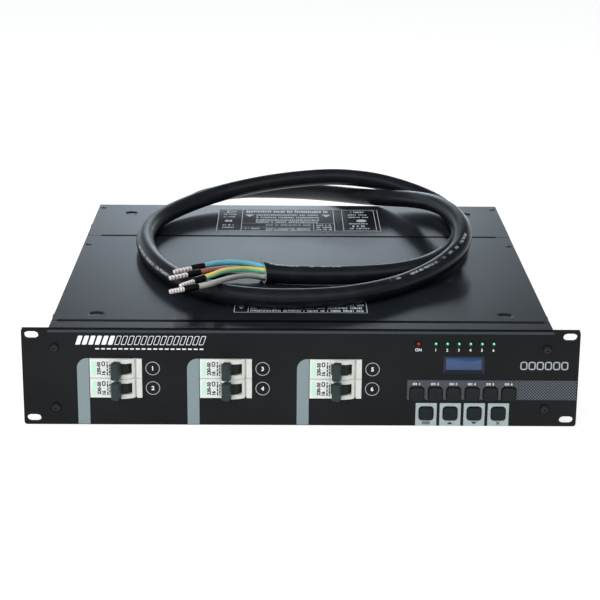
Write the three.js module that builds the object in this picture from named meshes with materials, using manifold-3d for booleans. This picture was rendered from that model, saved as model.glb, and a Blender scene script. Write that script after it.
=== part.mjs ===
// Six-channel dimmer pack: a two-unit rack case with breakers, a key panel, rear outlets and a mains lead.
// Millimetres, +Z up, +X to the viewer's right, and the front panel faces -Y.
// Places along Y are counted from the panel's front face, and the whole pack is centred at the end.

import * as THREE from 'three';
import { mergeVertices } from 'three/addons/utils/BufferGeometryUtils.js';
import Module from 'manifold-3d';

const wasm = await Module();
wasm.setup();

// Rack panel and case
const rackWidth = 482.6;
const panelHeight = 88.1;
const panelThickness = 3;
const panelCorner = 2.5;
const panelTopRound = 2.2;
const earWidth = 22.8;
const caseDepth = 443.8;
const caseHeight = 86.5;
const sheet = 1.5;
const seat = 0.3; // gap left between pieces that rest on each other
const overrun = 2; // how far a cutting tool runs past the face that it cuts
const caseWidth = rackWidth - 2 * earWidth;
const caseHalf = caseWidth / 2;
const panelBack = panelThickness;
const caseFront = panelBack + seat;
const floorTop = sheet;
const onFloor = floorTop + seat;
const midDrop = 0.25; // how far the breakers and the rear pieces lie below half the case's height
const midZ = caseHeight / 2 - midDrop;
const lidUnder = caseHeight - sheet;
const rearInner = caseDepth - sheet;

// Rack slots in the ears
const slotInsetX = 8.75;
const slotInsetZ = 5.95;
const slotLength = 12.5;
const slotWidth = 6.5;
const slotX = rackWidth / 2 - slotInsetX;

// Screws that hold the panel to the case
const flangeWidth = 13.5;
const screwInset = 5.5;
const screwLowZ = 16.3;
const screwTopInset = 15.5;
const screwHeadRadius = 3.9;
const screwHeadHeight = 2.2;
const screwShankRadius = 2;
const screwLength = 10;
const screwClearance = 0.4;
const screwSocketRadius = 1.7;
const screwSocketDepth = 1.3;
const screwDomeTopShare = 0.6; // of the head's radius, where the dome's flat top ends
const screwDomeSideShare = 0.92; // of the head's radius, where the dome turns down
const screwDomeHeightShare = 0.6; // of the head's height, at that turn
const screwX = caseHalf - screwInset;
const screwHighZ = caseHeight - screwTopInset;

// Lids
const stripDepth = 24.5; // fixed strip of the top, between the panel and the front lid
const lidSplit = 313; // seam between the two lids
const seamGap = 0.8;
const dimpleRadius = 6.5;
const dimpleDepth = 1;
const dimpleInsetX = 37.5;
const dimpleFrontY = 47;
const dimpleRearInset = 36.8;
const lidFront = panelBack + stripDepth;
const dimpleX = caseHalf - dimpleInsetX;

// Air slots in the side walls
const ventCount = 9;
const ventPitch = 9;
const ventWidth = 4;
const ventFirstY = 90;
const ventLowZ = 22;
const ventHighZ = 62;

// Control area at the panel's right, placed from the case's right edge
const boardLeftInset = 130.2;
const boardRightInset = 24.5;
const boardFront = 14;
const boardThickness = 1.6;
const boardLowZ = 4.5;
const boardTopGap = 4.5;
const boardPostRadius = 2.2;
const boardPostInset = 2.6;
const boardHighZ = caseHeight - boardTopGap;
const boardLeft = caseHalf - boardLeftInset;
const boardRight = caseHalf - boardRightInset;

// Keys: channel keys above, menu keys below
const channelCount = 6;
const menuCount = 4;
const channelKeyInset = 117.3;
const channelKeyPitch = 16.03;
const channelKeyHeightShare = 0.3468; // of the case's height, as are the other rows of the control area
const menuKeyInset = 108.8;
const menuKeyPitch = 21.05;
const menuKeyHeightShare = 0.1341;
const keySize = 12;
const keyCorner = 3;
const keyClearance = 0.4;
const keyProud = 1.8;
const keyRimOverlap = 0.9;
const keyRimThickness = 0.8;
const keyStemRadius = 1.6;
const keyStemReach = 2.4;
const keyTravel = 0.8;
const switchSize = 9;
const switchHeight = 6.4;
const channelKeyZ = caseHeight * channelKeyHeightShare;
const menuKeyZ = caseHeight * menuKeyHeightShare;

// Lamps and display
const lampRadius = 2.5;
const lampProud = 2.6;
const lampFlangeRadius = 2.9;
const lampFlangeThickness = 1;
const lampClearance = 0.3;
const lampLegRadius = 2;
const lampHeightShare = 0.8751;
const statusLampInset = 117.1;
const channelLampInset = 102.1;
const channelLampPitch = 10;
const displayInset = 77.15;
const displayHeightShare = 0.6491;
const displayWidth = 35.7;
const displayHeight = 16.1;
const displayRecess = 1.4;
const displayFrame = 3.4;
const lampZ = caseHeight * lampHeightShare;
const displayZ = caseHeight * displayHeightShare;

// Breakers: two single poles lie one above the other in each panel window
const pairCount = 3;
const polesPerPair = 2;
const breakerMargin = 10.45;
const polePitch = 18.1;
const noseLength = 45.2;
const noseProud = 0.4;
const noseDepth = 20;
const bodyGap = 15.3; // between the bodies of neighbouring pairs
const bodyBack = 66;
const bodyChamfer = 5;
const humpLeft = -4.6;
const humpRight = 16.4;
const humpRadius = 17.5;
const humpTop = 3.5;
const grooveWidth = 1.6;
const grooveDepth = 1.8;
const axleX = 5;
const axleY = 6;
const drumRadius = 8.6;
const drumWidth = 9.4;
const drumClearance = 0.4;
const trunnionRadius = 1.6;
const trunnionReach = 1.6;
const leverWidth = 15.6;
const leverThickness = 7.2;
const leverFoot = 11.2;
const leverTip = 18.4;
const leverAngle = 17; // degrees to the left of straight out
const leverTipShare = 0.7; // width of the paddle's flat end, of its thickness
const leverBevelShare = 0.5; // length of the bevel beside that end, of half the thickness
const neckThickness = 5;
const railWidth = 35;
const railDepth = 7.5;
const railTop = 25;
const railSheet = 1;
const railNotch = 4;
const railOverhang = 3;
const bracketFoot = 18;
const windowClearance = 0.35;
const poleWidth = polePitch - seat;
const pairPitch = (boardLeft + caseHalf - 2 * breakerMargin) / pairCount;
const firstPairX = -caseHalf + breakerMargin + pairPitch / 2;
const bodyLength = pairPitch - bodyGap;

// Rear panel pieces, placed from the case's left edge
const dataInset = 21.5;
const dataPitch = 34;
const dataWidth = 26;
const dataHeight = 31;
const dataFlange = 2.2;
const dataCorner = 3;
const dataShellRadius = 11.6;
const dataWellRadius = 9.4;
const dataWellDepth = 11;
const dataShellLength = 22;
const dataPinRadius = 1.25;
const dataPinCircle = 5;
const dataPinRecess = 4.6;
const dataPinCount = 3;
const dataHoleDepth = 9;
const glandInset = 63.5;
const glandHexRadius = 17.2;
const glandHexLength = 7;
const glandThreadRadius = 12;
const glandNutRadius = 15.8;
const glandNutLength = 5;
const glandCollarRadius = 13.6;
const glandCollarLength = 5;
const glandCapLength = 11;
const glandLipRadius = 11.2;
const glandLipLength = 5;
const fanInset = 114.5;
const fanSize = 60;
const fanDepth = 25;
const fanCorner = 4;
const fanBoreRadius = 28;
const fanHubRadius = 13;
const fanBlades = 7;
const fanBladeThickness = 1.6;
const fanBladePitch = 38; // degrees
const fanChordShare = 0.9; // of the longest blade that fits between the hub's ends
const fanTipGap = 1.5;
const fanStrutWidth = 3.5;
const fanStrutDepth = 3;
const fanShaftRadius = 2;
const fanPlateGap = 0.8;
const grilleSlots = 7;
const grilleBar = 2.6;
const outletRightMargin = 8;
const outletLeftMargin = 2;
const outletGap = 1.6;
const outletHeight = 50;
const outletCorner = 4;
const outletFlange = 3;
const outletRim = 3.14; // least width of the flange beside the well
const outletWall = 1.4;
const outletWellDepth = 17.5;
const outletBodyDepth = 28;
const outletPinRadius = 2.6;
const outletPinX = 9.5;
const outletPinDepth = 8;
const earthClipWidth = 4.5;
const earthClipHeight = 2;
const earthClipLength = 13;
const holeClearance = 0.4;
const dataX = -caseHalf + dataInset;
const glandX = -caseHalf + glandInset;
const fanX = -caseHalf + fanInset;
const outletLeft = fanX + fanSize / 2 + outletLeftMargin;
const outletPitch = (caseHalf - outletRightMargin - outletLeft) / channelCount;
const outletWidth = outletPitch - outletGap;
const outletWellRadius = outletWidth / 2 - outletRim;
const outletBodyRadius = outletWellRadius + outletWall;
const lidLipClearance = 4.5; // between the fan and the turned-down lips of the lids
const lidLip = caseHeight - midZ - fanSize / 2 - lidLipClearance;
const fanFront = rearInner - seat - fanDepth;
const glandLength = glandHexLength + glandCollarLength + glandCapLength + glandLipLength;

// Heat sink and power board on the floor
const sinkFront = 130;
const sinkFanGap = 37;
const sinkBase = 5;
const sinkFins = 8;
const sinkFinThickness = 2;
const sinkHeight = 52;
const boardStandoff = 6;
const powerFront = 130;
const powerDepth = 190;
const powerMargin = 14;
const chokeRadius = 13;
const chokeWire = 6;
const standoffRadius = 3;
const standoffInset = 7;
const capRadius = 9;
const capHeight = 30;
const capSpacing = 26;
const terminalDepth = 12;
const terminalHeight = 16;
const terminalInset = 8;
const sinkLength = fanFront - sinkFanGap - sinkFront;
const sink = 0.5; // how deep a joined piece is let into the one that carries it

// Mains lead and its five cores
const leadDiameter = 18;
const leadSides = 8;
const leadSteps = 66;
const coreRadius = 2.6;
const coreCircle = 5.4;
const coreSides = 8;
const coreSteps = 10;
const sleeveRadius = 3.1;
const sleeveLength = 10;
const ferruleRadius = 2.3;
const ferruleLength = 14;
const leadZ = caseHeight + leadDiameter / 2 + seat; // height of the lead's middle where it lies on the lids

// How far the pack reaches in front of the panel and behind it
const leverTurn = THREE.MathUtils.degToRad(leverAngle);
const tipSideReach = (leverThickness / 2) * leverTipShare * Math.sin(leverTurn);
const frontReach = leverTip * Math.cos(leverTurn) + tipSideReach - axleY;
const rearReach = caseDepth + seat + outletFlange;
const middleY = (rearReach - frontReach) / 2;

// Finishes
function finish(color, roughness, metalness) {
  return new THREE.MeshStandardMaterial({ color, roughness, metalness });
}

const panelPaint = finish(0x26292c, 0.5, 0.2);
const casePaint = finish(0x3c4147, 0.42, 0.2);
const blackSteel = finish(0x17181a, 0.45, 0.6);
const whitePlastic = finish(0xd2d4cc, 0.45, 0);
const leverPlastic = finish(0x2c3436, 0.45, 0);
const keyPlastic = finish(0x1b1c1e, 0.5, 0);
const zincSteel = finish(0xa8abad, 0.4, 0.9);
const circuitBoard = finish(0x1d5a37, 0.6, 0);
const displayGlass = finish(0x45608a, 0.2, 0);
const redLamp = finish(0xa01c24, 0.25, 0);
const greenLamp = finish(0x2f9a60, 0.25, 0);
const aluminium = finish(0xb4b7ba, 0.4, 0.9);
const outletPlastic = finish(0x1c1d20, 0.4, 0);
const glandPlastic = finish(0x232427, 0.55, 0);
const leadRubber = finish(0x1b1d20, 0.6, 0);
const coreColours = {
  blue: 0x4aa3bf, brown: 0x6b3f2a, green_yellow: 0xb9b84a, grey: 0xa6a59e, black: 0x1d1d1f,
};

// Outlines in a plane, as lists of points
function arc(cx, cy, radius, from, to, steps) {
  return Array.from({ length: steps + 1 }, (_, i) => {
    const angle = from + ((to - from) * i) / steps;
    return new THREE.Vector2(cx + radius * Math.cos(angle), cy + radius * Math.sin(angle));
  });
}

function rectangle(cx, cy, width, height) {
  const [w, h] = [width / 2, height / 2];
  return [[-w, -h], [w, -h], [w, h], [-w, h]].map(([x, y]) => new THREE.Vector2(cx + x, cy + y));
}

function roundRectangle(cx, cy, width, height, radius, steps = 3) {
  const [w, h] = [width / 2 - radius, height / 2 - radius];
  const corners = [[w, -h], [w, h], [-w, h], [-w, -h]];
  return corners.flatMap(([x, y], i) => {
    const start = ((i - 1) * Math.PI) / 2;
    return arc(cx + x, cy + y, radius, start, start + Math.PI / 2, steps);
  });
}

function circle(cx, cy, radius, sides = 12) {
  return arc(cx, cy, radius, 0, 2 * Math.PI, sides).slice(0, sides);
}

function longSlot(cx, cy, length, width, steps = 4) {
  const half = (length - width) / 2;
  const right = arc(cx + half, cy, width / 2, -Math.PI / 2, Math.PI / 2, steps);
  const left = arc(cx - half, cy, width / 2, Math.PI / 2, 1.5 * Math.PI, steps);
  return [...right, ...left];
}

// Solids: a prism along each axis, a block, and a turned piece
function prism(outline, depth) {
  return new THREE.ExtrudeGeometry(new THREE.Shape(outline), { depth, bevelEnabled: false, steps: 1 });
}

function prismY(outline, front, back) {
  return prism(outline, back - front).rotateX(Math.PI / 2).translate(0, back, 0);
}

function prismZ(outline, low, high) {
  return prism(outline, high - low).translate(0, 0, low);
}

function prismX(outline, left, right) {
  // The outline is drawn in Y and Z
  return prism(outline, right - left).rotateY(Math.PI / 2).rotateX(Math.PI / 2).translate(left, 0, 0);
}

function block(left, right, front, back, low, high) {
  const box = new THREE.BoxGeometry(right - left, back - front, high - low);
  return box.translate((left + right) / 2, (front + back) / 2, (low + high) / 2);
}

function turnedY(profile, sides) {
  return new THREE.LatheGeometry(profile.map(([r, y]) => new THREE.Vector2(r, y)), sides);
}

function turnedZ(profile, sides) {
  return turnedY(profile, sides).rotateX(Math.PI / 2);
}

function rodY(x, z, radius, front, back, sides = 12) {
  return turnedY([[0, front], [radius, front], [radius, back], [0, back]], sides).translate(x, 0, z);
}

function rodZ(x, y, radius, low, high, sides = 12) {
  return turnedZ([[0, low], [radius, low], [radius, high], [0, high]], sides).translate(x, y, 0);
}

// Joining and cutting
function solidOf(geometry) {
  const bare = geometry.clone();
  bare.deleteAttribute('normal');
  bare.deleteAttribute('uv');
  const merged = mergeVertices(bare);
  const corners = merged.index.array;
  const triangles = [];
  for (let i = 0; i < corners.length; i += 3) {
    const [a, b, c] = [corners[i], corners[i + 1], corners[i + 2]];
    if (a !== b && b !== c && c !== a) {
      triangles.push(a, b, c);
    }
  }
  const vertProperties = new Float32Array(merged.attributes.position.array);
  const build = (order) => new wasm.Manifold(
    new wasm.Mesh({ numProp: 3, vertProperties, triVerts: new Uint32Array(order) }));
  const solid = build(triangles);
  return solid.volume() > 0 ? solid : build(triangles.reverse());
}

function geometryOf(solid) {
  const mesh = solid.getMesh();
  const geometry = new THREE.BufferGeometry();
  geometry.setAttribute('position', new THREE.BufferAttribute(new Float32Array(mesh.vertProperties), 3));
  geometry.setIndex(new THREE.BufferAttribute(new Uint32Array(mesh.triVerts), 1));
  geometry.computeVertexNormals();
  return geometry;
}

function join(...pieces) {
  return geometryOf(pieces.map(solidOf).reduce((whole, piece) => whole.add(piece)));
}

function cut(piece, ...tools) {
  return geometryOf(tools.map(solidOf).reduce((rest, tool) => rest.subtract(tool), solidOf(piece)));
}

// Upright plate with its outline and holes drawn in X and Z
function plateY(outline, holes, front, back) {
  const tools = holes.map((hole) => prismY(hole, front - overrun, back + overrun));
  return cut(prismY(outline, front, back), ...tools);
}

// The pack, with each piece placed by its mesh
const group = new THREE.Group();
group.position.y = -middleY;

function place(name, geometry, material, x = 0, y = 0, z = 0) {
  const mesh = new THREE.Mesh(geometry, material);
  mesh.name = name;
  mesh.position.set(x, y, z);
  group.add(mesh);
}

const pairX = (pair) => firstPairX + pair * pairPitch;
const poleZ = (pole) => midZ + (polePitch * (polesPerPair - 1)) / 2 - pole * polePitch;
const channelKeyX = (i) => caseHalf - channelKeyInset + i * channelKeyPitch;
const menuKeyX = (i) => caseHalf - menuKeyInset + i * menuKeyPitch;
const lampX = (i) => caseHalf - channelLampInset + i * channelLampPitch;
const statusLampX = caseHalf - statusLampInset;
const displayX = caseHalf - displayInset;
const outletX = (i) => outletLeft + outletPitch / 2 + i * outletPitch;
const indices = (count) => Array.from({ length: count }, (_, i) => i);

// Front panel
function frontPanel() {
  const keyHole = (x, z) => roundRectangle(x, z, keySize + 2 * keyClearance, keySize + 2 * keyClearance,
    keyCorner + keyClearance, 2);
  const window = (x) => rectangle(x, midZ, noseLength + 2 * windowClearance,
    polePitch * polesPerPair + 2 * windowClearance);
  const lampHole = (x) => circle(x, lampZ, lampRadius + lampClearance, 8);
  const holes = [
    ...[-slotX, slotX].flatMap((x) => [slotInsetZ, panelHeight - slotInsetZ]
      .map((z) => longSlot(x, z, slotLength, slotWidth))),
    ...[-screwX, screwX].flatMap((x) => [screwLowZ, screwHighZ]
      .map((z) => circle(x, z, screwShankRadius + screwClearance, 10))),
    ...indices(pairCount).map((pair) => window(pairX(pair))),
    ...indices(channelCount).map((i) => keyHole(channelKeyX(i), channelKeyZ)),
    ...indices(menuCount).map((i) => keyHole(menuKeyX(i), menuKeyZ)),
    ...indices(channelCount).map((i) => lampHole(lampX(i))),
    lampHole(statusLampX),
    rectangle(displayX, displayZ, displayWidth, displayHeight),
  ];
  const outline = roundRectangle(0, panelHeight / 2, rackWidth, panelHeight, panelCorner);
  const plate = plateY(outline, holes, 0, panelThickness);
  const edge = arc(panelTopRound, panelHeight - panelTopRound, panelTopRound, Math.PI / 2, Math.PI, 4);
  const corner = new THREE.Vector2(-overrun, panelHeight + overrun);
  const low = new THREE.Vector2(-overrun, panelHeight - panelTopRound);
  const high = new THREE.Vector2(panelTopRound, panelHeight + overrun);
  const topRound = prismX([high, ...edge, low, corner], -caseHalf, caseHalf);
  return cut(plate, topRound);
}

// Panel screw: domed head in front, with a round socket, and a plain shank
function panelScrew() {
  const turned = turnedY([
    [0, screwSocketDepth - screwHeadHeight], [screwSocketRadius, screwSocketDepth - screwHeadHeight],
    [screwSocketRadius, -screwHeadHeight], [screwHeadRadius * screwDomeTopShare, -screwHeadHeight],
    [screwHeadRadius * screwDomeSideShare, -screwHeadHeight * screwDomeHeightShare], [screwHeadRadius, 0],
    [screwShankRadius, 0], [screwShankRadius, screwLength], [0, screwLength],
  ], 8);
  return join(turned);
}

// One breaker pole, with its long side along X; its front faces -Y
function breakerBody() {
  const nose = noseLength / 2;
  const half = bodyLength / 2;
  const humpMid = (humpLeft + humpRight) / 2;
  const reach = (humpRight - humpLeft) / 2;
  const halfAngle = Math.asin(reach / humpRadius);
  const down = -Math.PI / 2;
  const hump = arc(humpMid, humpRadius - humpTop, humpRadius, down - halfAngle, down + halfAngle, 6);
  const points = [
    [-nose, -noseProud], [humpLeft, -noseProud], ...hump.map((p) => [p.x, p.y]),
    [humpRight, grooveDepth], [humpRight + grooveWidth, grooveDepth], [humpRight + grooveWidth, -noseProud],
    [nose, -noseProud], [nose, noseDepth], [half - bodyChamfer, noseDepth], [half, noseDepth + bodyChamfer],
    [half, bodyBack], [railWidth / 2 + seat, bodyBack], [railWidth / 2 + seat, bodyBack - railNotch],
    [-railWidth / 2 - seat, bodyBack - railNotch], [-railWidth / 2 - seat, bodyBack], [-half, bodyBack],
    [-half, noseDepth + bodyChamfer], [-half + bodyChamfer, noseDepth], [-nose, noseDepth],
  ].map(([x, y]) => new THREE.Vector2(x, y));
  const body = prismZ(points, -poleWidth / 2, poleWidth / 2);
  const wellRadius = drumRadius + drumClearance;
  const wellHalf = drumWidth / 2 + drumClearance;
  const trunnionHalf = wellHalf + trunnionReach;
  return cut(body,
    rodZ(axleX, axleY, wellRadius, -wellHalf, wellHalf, 16),
    block(axleX - wellRadius, axleX + wellRadius, -humpTop - overrun, axleY, -wellHalf, wellHalf),
    rodZ(axleX, axleY, trunnionRadius + seat, -trunnionHalf, trunnionHalf, 6));
}

// Breaker lever on its drum, about the drum's axis, at rest to the left
function breakerLever() {
  const tip = leverThickness / 2;
  const neck = neckThickness / 2;
  const bevelY = -leverTip + tip * leverBevelShare;
  const trunnionHalf = drumWidth / 2 + drumClearance + trunnionReach - seat;
  const paddle = prismZ([
    [-tip, -leverFoot], [-tip, bevelY], [-tip * leverTipShare, -leverTip], [tip * leverTipShare, -leverTip],
    [tip, bevelY], [tip, -leverFoot],
  ].map(([x, y]) => new THREE.Vector2(x, y)), -leverWidth / 2, leverWidth / 2);
  const stalk = block(-neck, neck, -leverFoot - sink, 0, -drumWidth / 2, drumWidth / 2);
  const drum = rodZ(0, 0, drumRadius, -drumWidth / 2, drumWidth / 2, 16);
  const trunnions = rodZ(0, 0, trunnionRadius, -trunnionHalf, trunnionHalf, 6);
  return join(drum, paddle, stalk, trunnions).rotateZ(-leverTurn);
}

// Bracket on the floor with one hat rail behind each pair of poles
function breakerRail() {
  const railFront = bodyBack - railNotch + seat;
  const plateFront = railFront + railDepth;
  const polesHalf = (polePitch * polesPerPair) / 2;
  const [low, high] = [midZ - polesHalf - railOverhang, midZ + polesHalf + railOverhang];
  const left = pairX(0) - bodyLength / 2;
  const right = pairX(pairCount - 1) + bodyLength / 2;
  const plate = block(left, right, plateFront, plateFront + sheet, onFloor, high);
  const foot = block(left, right, plateFront, plateFront + bracketFoot, onFloor, onFloor + sheet);
  const hat = indices(pairCount).map((pair) => {
    const [x, w, t] = [pairX(pair), railWidth / 2, railTop / 2];
    const brim = railFront + railSheet;
    const crown = plateFront - railSheet;
    const outer = t + railSheet;
    const section = [
      [-w, railFront], [-t, railFront], [-t, crown], [t, crown], [t, railFront], [w, railFront], [w, brim],
      [outer, brim], [outer, plateFront + sink], [-outer, plateFront + sink], [-outer, brim], [-w, brim],
    ].map(([px, py]) => new THREE.Vector2(x + px, py));
    return prismZ(section, low, high);
  });
  return join(plate, foot, ...hat);
}

// Round lamp in a spacer that stands on the control board
function lamp() {
  const back = boardFront - seat;
  const flangeFront = panelBack + seat;
  const flangeBack = flangeFront + lampFlangeThickness;
  const dome = arc(0, lampRadius - lampProud, lampRadius, -Math.PI / 2, 0, 3).map(({ x, y }) => [x, y]);
  return join(turnedY([
    ...dome, [lampRadius, flangeFront], [lampFlangeRadius, flangeFront], [lampFlangeRadius, flangeBack],
    [lampLegRadius, flangeBack], [lampLegRadius, back], [0, back],
  ], 8));
}

// Key cap with a rim behind the panel and a stem that enters its switch
function keyCap() {
  const rimFront = panelBack + seat;
  const rimBack = rimFront + keyRimThickness;
  const rimSize = keySize + 2 * keyRimOverlap;
  const cap = prismY(roundRectangle(0, 0, keySize, keySize, keyCorner, 2), -keyProud, rimBack);
  const rim = prismY(rectangle(0, 0, rimSize, rimSize), rimFront, rimBack);
  const switchFront = boardFront - switchHeight;
  return join(cap, rim, rodY(0, 0, keyStemRadius, rimFront, switchFront + keyStemReach, 6));
}

// Control board on four posts, with a switch body behind each key
function controlBoard() {
  const places = [
    ...indices(channelCount).map((i) => [channelKeyX(i), channelKeyZ]),
    ...indices(menuCount).map((i) => [menuKeyX(i), menuKeyZ]),
  ];
  const half = switchSize / 2;
  const front = boardFront - switchHeight;
  const boreEnd = front + keyStemReach + keyTravel + seat;
  const switches = places.map(([x, z]) =>
    block(x - half, x + half, front, boardFront + sink, z - half, z + half));
  const bores = places.map(([x, z]) => rodY(x, z, keyStemRadius + seat, front - overrun, boreEnd, 6));
  const posts = [boardLeft + boardPostInset, boardRight - boardPostInset].flatMap((x) =>
    [boardLowZ + boardPostInset, boardHighZ - boardPostInset]
      .map((z) => rodY(x, z, boardPostRadius, caseFront, boardFront + sink, 8)));
  const plate = block(boardLeft, boardRight, boardFront, boardFront + boardThickness, boardLowZ, boardHighZ);
  return cut(join(plate, ...switches, ...posts), ...bores);
}

// Display: a framed module behind the panel whose glass stands in the window
function displayModule() {
  const width = displayWidth + 2 * displayFrame;
  const height = displayHeight + 2 * displayFrame;
  const glassWidth = displayWidth - 2 * seat;
  const glassHeight = displayHeight - 2 * seat;
  return join(
    prismY(rectangle(displayX, displayZ, width, height), caseFront, boardFront - seat),
    prismY(rectangle(displayX, displayZ, glassWidth, glassHeight), displayRecess, caseFront + sink));
}

// Tray of the case: floor, side walls with folded top and front edges, and the fixed top strip
function chassisBase() {
  const inner = caseHalf - sheet;
  const edge = caseHalf - flangeWidth;
  const flangeTop = lidUnder - seat;
  const rearEdge = rearInner - seat;
  const floor = block(-caseHalf, caseHalf, caseFront, caseDepth, 0, floorTop);
  const sides = [-1, 1].flatMap((side) => {
    const span = (a, b) => [Math.min(side * a, side * b), Math.max(side * a, side * b)];
    return [
      block(...span(inner, caseHalf), caseFront, caseDepth, 0, flangeTop),
      block(...span(inner, caseHalf), caseFront, lidFront, 0, caseHeight),
      block(...span(edge, caseHalf), lidFront - sheet, rearEdge, flangeTop - sheet, flangeTop),
      block(...span(edge, caseHalf), caseFront, caseFront + sheet, 0, caseHeight),
    ];
  });
  const strip = block(-caseHalf, caseHalf, caseFront, lidFront, lidUnder, caseHeight);
  const lip = block(-edge - sink, edge + sink, caseFront, caseFront + sheet, boardHighZ + seat, caseHeight);
  const screwHoles = [-screwX, screwX].flatMap((x) => [screwLowZ, screwHighZ].map((z) =>
    rodY(x, z, screwShankRadius + screwClearance, caseFront - overrun, caseFront + sheet + overrun, 10)));
  const vents = indices(ventCount).map((i) => {
    const y = ventFirstY + i * ventPitch;
    return block(-caseHalf - overrun, caseHalf + overrun, y, y + ventWidth, ventLowZ, ventHighZ);
  });
  return cut(join(floor, ...sides, strip, lip), ...screwHoles, ...vents);
}

// Flat lid with two turned-down lips and two pressed dimples
function lid(front, back, rearLipBack, dimpleY) {
  const lipHalf = caseHalf - flangeWidth - sheet;
  const lips = [[front, front + sheet], [rearLipBack - sheet, rearLipBack]]
    .map(([from, to]) => block(-lipHalf, lipHalf, from, to, caseHeight - lidLip, caseHeight));
  const plate = block(-caseHalf, caseHalf, front, back, lidUnder, caseHeight);
  const bosses = [-dimpleX, dimpleX].map((x) =>
    rodZ(x, dimpleY, dimpleRadius + sheet, lidUnder - dimpleDepth, lidUnder + sink, 14));
  const wells = [-dimpleX, dimpleX].map((x) =>
    turnedZ([[0, caseHeight - dimpleDepth], [dimpleRadius - dimpleDepth, caseHeight - dimpleDepth],
      [dimpleRadius, caseHeight], [dimpleRadius, caseHeight + overrun], [0, caseHeight + overrun]], 14)
      .translate(x, dimpleY, 0));
  return cut(join(plate, ...lips, ...bosses), ...wells);
}

// Rear panel between the side walls, with a slotted grille in front of the fan
function rearPanel() {
  const half = caseHalf - sheet - seat;
  const [low, high] = [onFloor, lidUnder - seat];
  const barPitch = (2 * fanBoreRadius) / grilleSlots;
  const slots = indices(grilleSlots).map((i) => {
    const z = (i - (grilleSlots - 1) / 2) * barPitch;
    const length = 2 * Math.sqrt(fanBoreRadius ** 2 - (Math.abs(z) + (barPitch - grilleBar) / 2) ** 2);
    return rectangle(fanX, midZ + z, length, barPitch - grilleBar);
  });
  const holes = [
    ...slots,
    ...[-dataPitch / 2, dataPitch / 2].map((up) =>
      circle(dataX, midZ + up, dataShellRadius + holeClearance, 16)),
    circle(glandX, midZ, glandThreadRadius + holeClearance, 16),
    ...indices(channelCount).map((i) => circle(outletX(i), midZ, outletBodyRadius + holeClearance, 20)),
  ];
  return plateY(rectangle(0, (low + high) / 2, 2 * half, high - low), holes, rearInner, caseDepth);
}

// Round earthed outlet: a flange, a well with two contact holes, and two earth clips
function outlet() {
  const face = outletFlange;
  const wellFloor = face - outletWellDepth;
  const shell = join(
    prismY(roundRectangle(0, 0, outletWidth, outletHeight, outletCorner, 1), 0, face),
    rodY(0, 0, outletBodyRadius, face - outletBodyDepth, sink, 16));
  const hollow = cut(shell,
    rodY(0, 0, outletWellRadius, wellFloor, face + overrun, 16),
    ...[-outletPinX, outletPinX].map((x) =>
      rodY(x, 0, outletPinRadius, wellFloor - outletPinDepth, face, 6)));
  const half = earthClipWidth / 2;
  const inner = outletWellRadius - earthClipHeight;
  const outer = outletWellRadius + sink;
  const clips = [[-outer, -inner], [inner, outer]].map(([low, high]) =>
    block(-half, half, wellFloor - sink, wellFloor + earthClipLength, low, high));
  return join(hollow, ...clips);
}

// Round data connector in a flange: with pins in a well, or with a solid insert that has holes
function dataConnector(hasPins) {
  const face = dataFlange;
  const shell = join(
    prismY(roundRectangle(0, 0, dataWidth, dataHeight, dataCorner, 2), 0, face),
    rodY(0, 0, dataShellRadius, face - dataShellLength, sink, 16));
  const places = indices(dataPinCount).map((i) => {
    const angle = Math.PI / 6 + (i * 2 * Math.PI) / dataPinCount;
    return [dataPinCircle * Math.cos(angle), dataPinCircle * Math.sin(angle)];
  });
  const wellFloor = face - dataWellDepth;
  const rods = (radius, front, back) => places.map(([x, z]) => rodY(x, z, radius, front, back, 8));
  if (hasPins) {
    const well = cut(shell, rodY(0, 0, dataWellRadius, wellFloor, face + overrun, 16));
    return join(well, ...rods(dataPinRadius, wellFloor - sink, face - dataPinRecess));
  }
  return cut(shell, ...rods(dataPinRadius + seat, face - dataHoleDepth, face + overrun));
}

// Cable gland: six-sided body and cap outside, thread through the panel, lock nut inside
function cableGland() {
  const collarFront = glandHexLength;
  const capFront = collarFront + glandCollarLength;
  const lipFront = capFront + glandCapLength;
  const nutBack = -sheet - seat - seat;
  const nutFront = nutBack - glandNutLength;
  return join(
    turnedY([[0, 0], [glandHexRadius, 0], [glandHexRadius, glandHexLength], [0, glandHexLength]], 6),
    rodY(0, 0, glandCollarRadius, collarFront - sink, capFront + sink, 16),
    turnedY([[0, capFront], [glandHexRadius, capFront], [glandHexRadius, lipFront - glandLipLength / 2],
      [glandLipRadius + sink, lipFront], [0, lipFront]], 6),
    rodY(0, 0, glandLipRadius, lipFront - sink, glandLength, 16),
    rodY(0, 0, glandThreadRadius, nutFront - overrun, sink, 16),
    turnedY([[0, nutFront], [glandNutRadius, nutFront], [glandNutRadius, nutBack], [0, nutBack]], 6));
}

// Fan frame: square ring with a hub on four struts at its front end
function fanFrame() {
  const ring = plateY(roundRectangle(0, 0, fanSize, fanSize, fanCorner, 2),
    [circle(0, 0, fanBoreRadius, 24)], 0, fanDepth);
  const reach = fanBoreRadius + sink;
  const half = fanStrutWidth / 2;
  const struts = join(
    block(-reach, reach, 0, fanStrutDepth, -half, half), block(-half, half, 0, fanStrutDepth, -reach, reach),
    rodY(0, 0, fanHubRadius, 0, fanStrutDepth, 16));
  const bore = rodY(0, 0, fanShaftRadius + seat, -overrun, fanStrutDepth + overrun, 8);
  return cut(join(ring, struts), bore);
}

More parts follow.
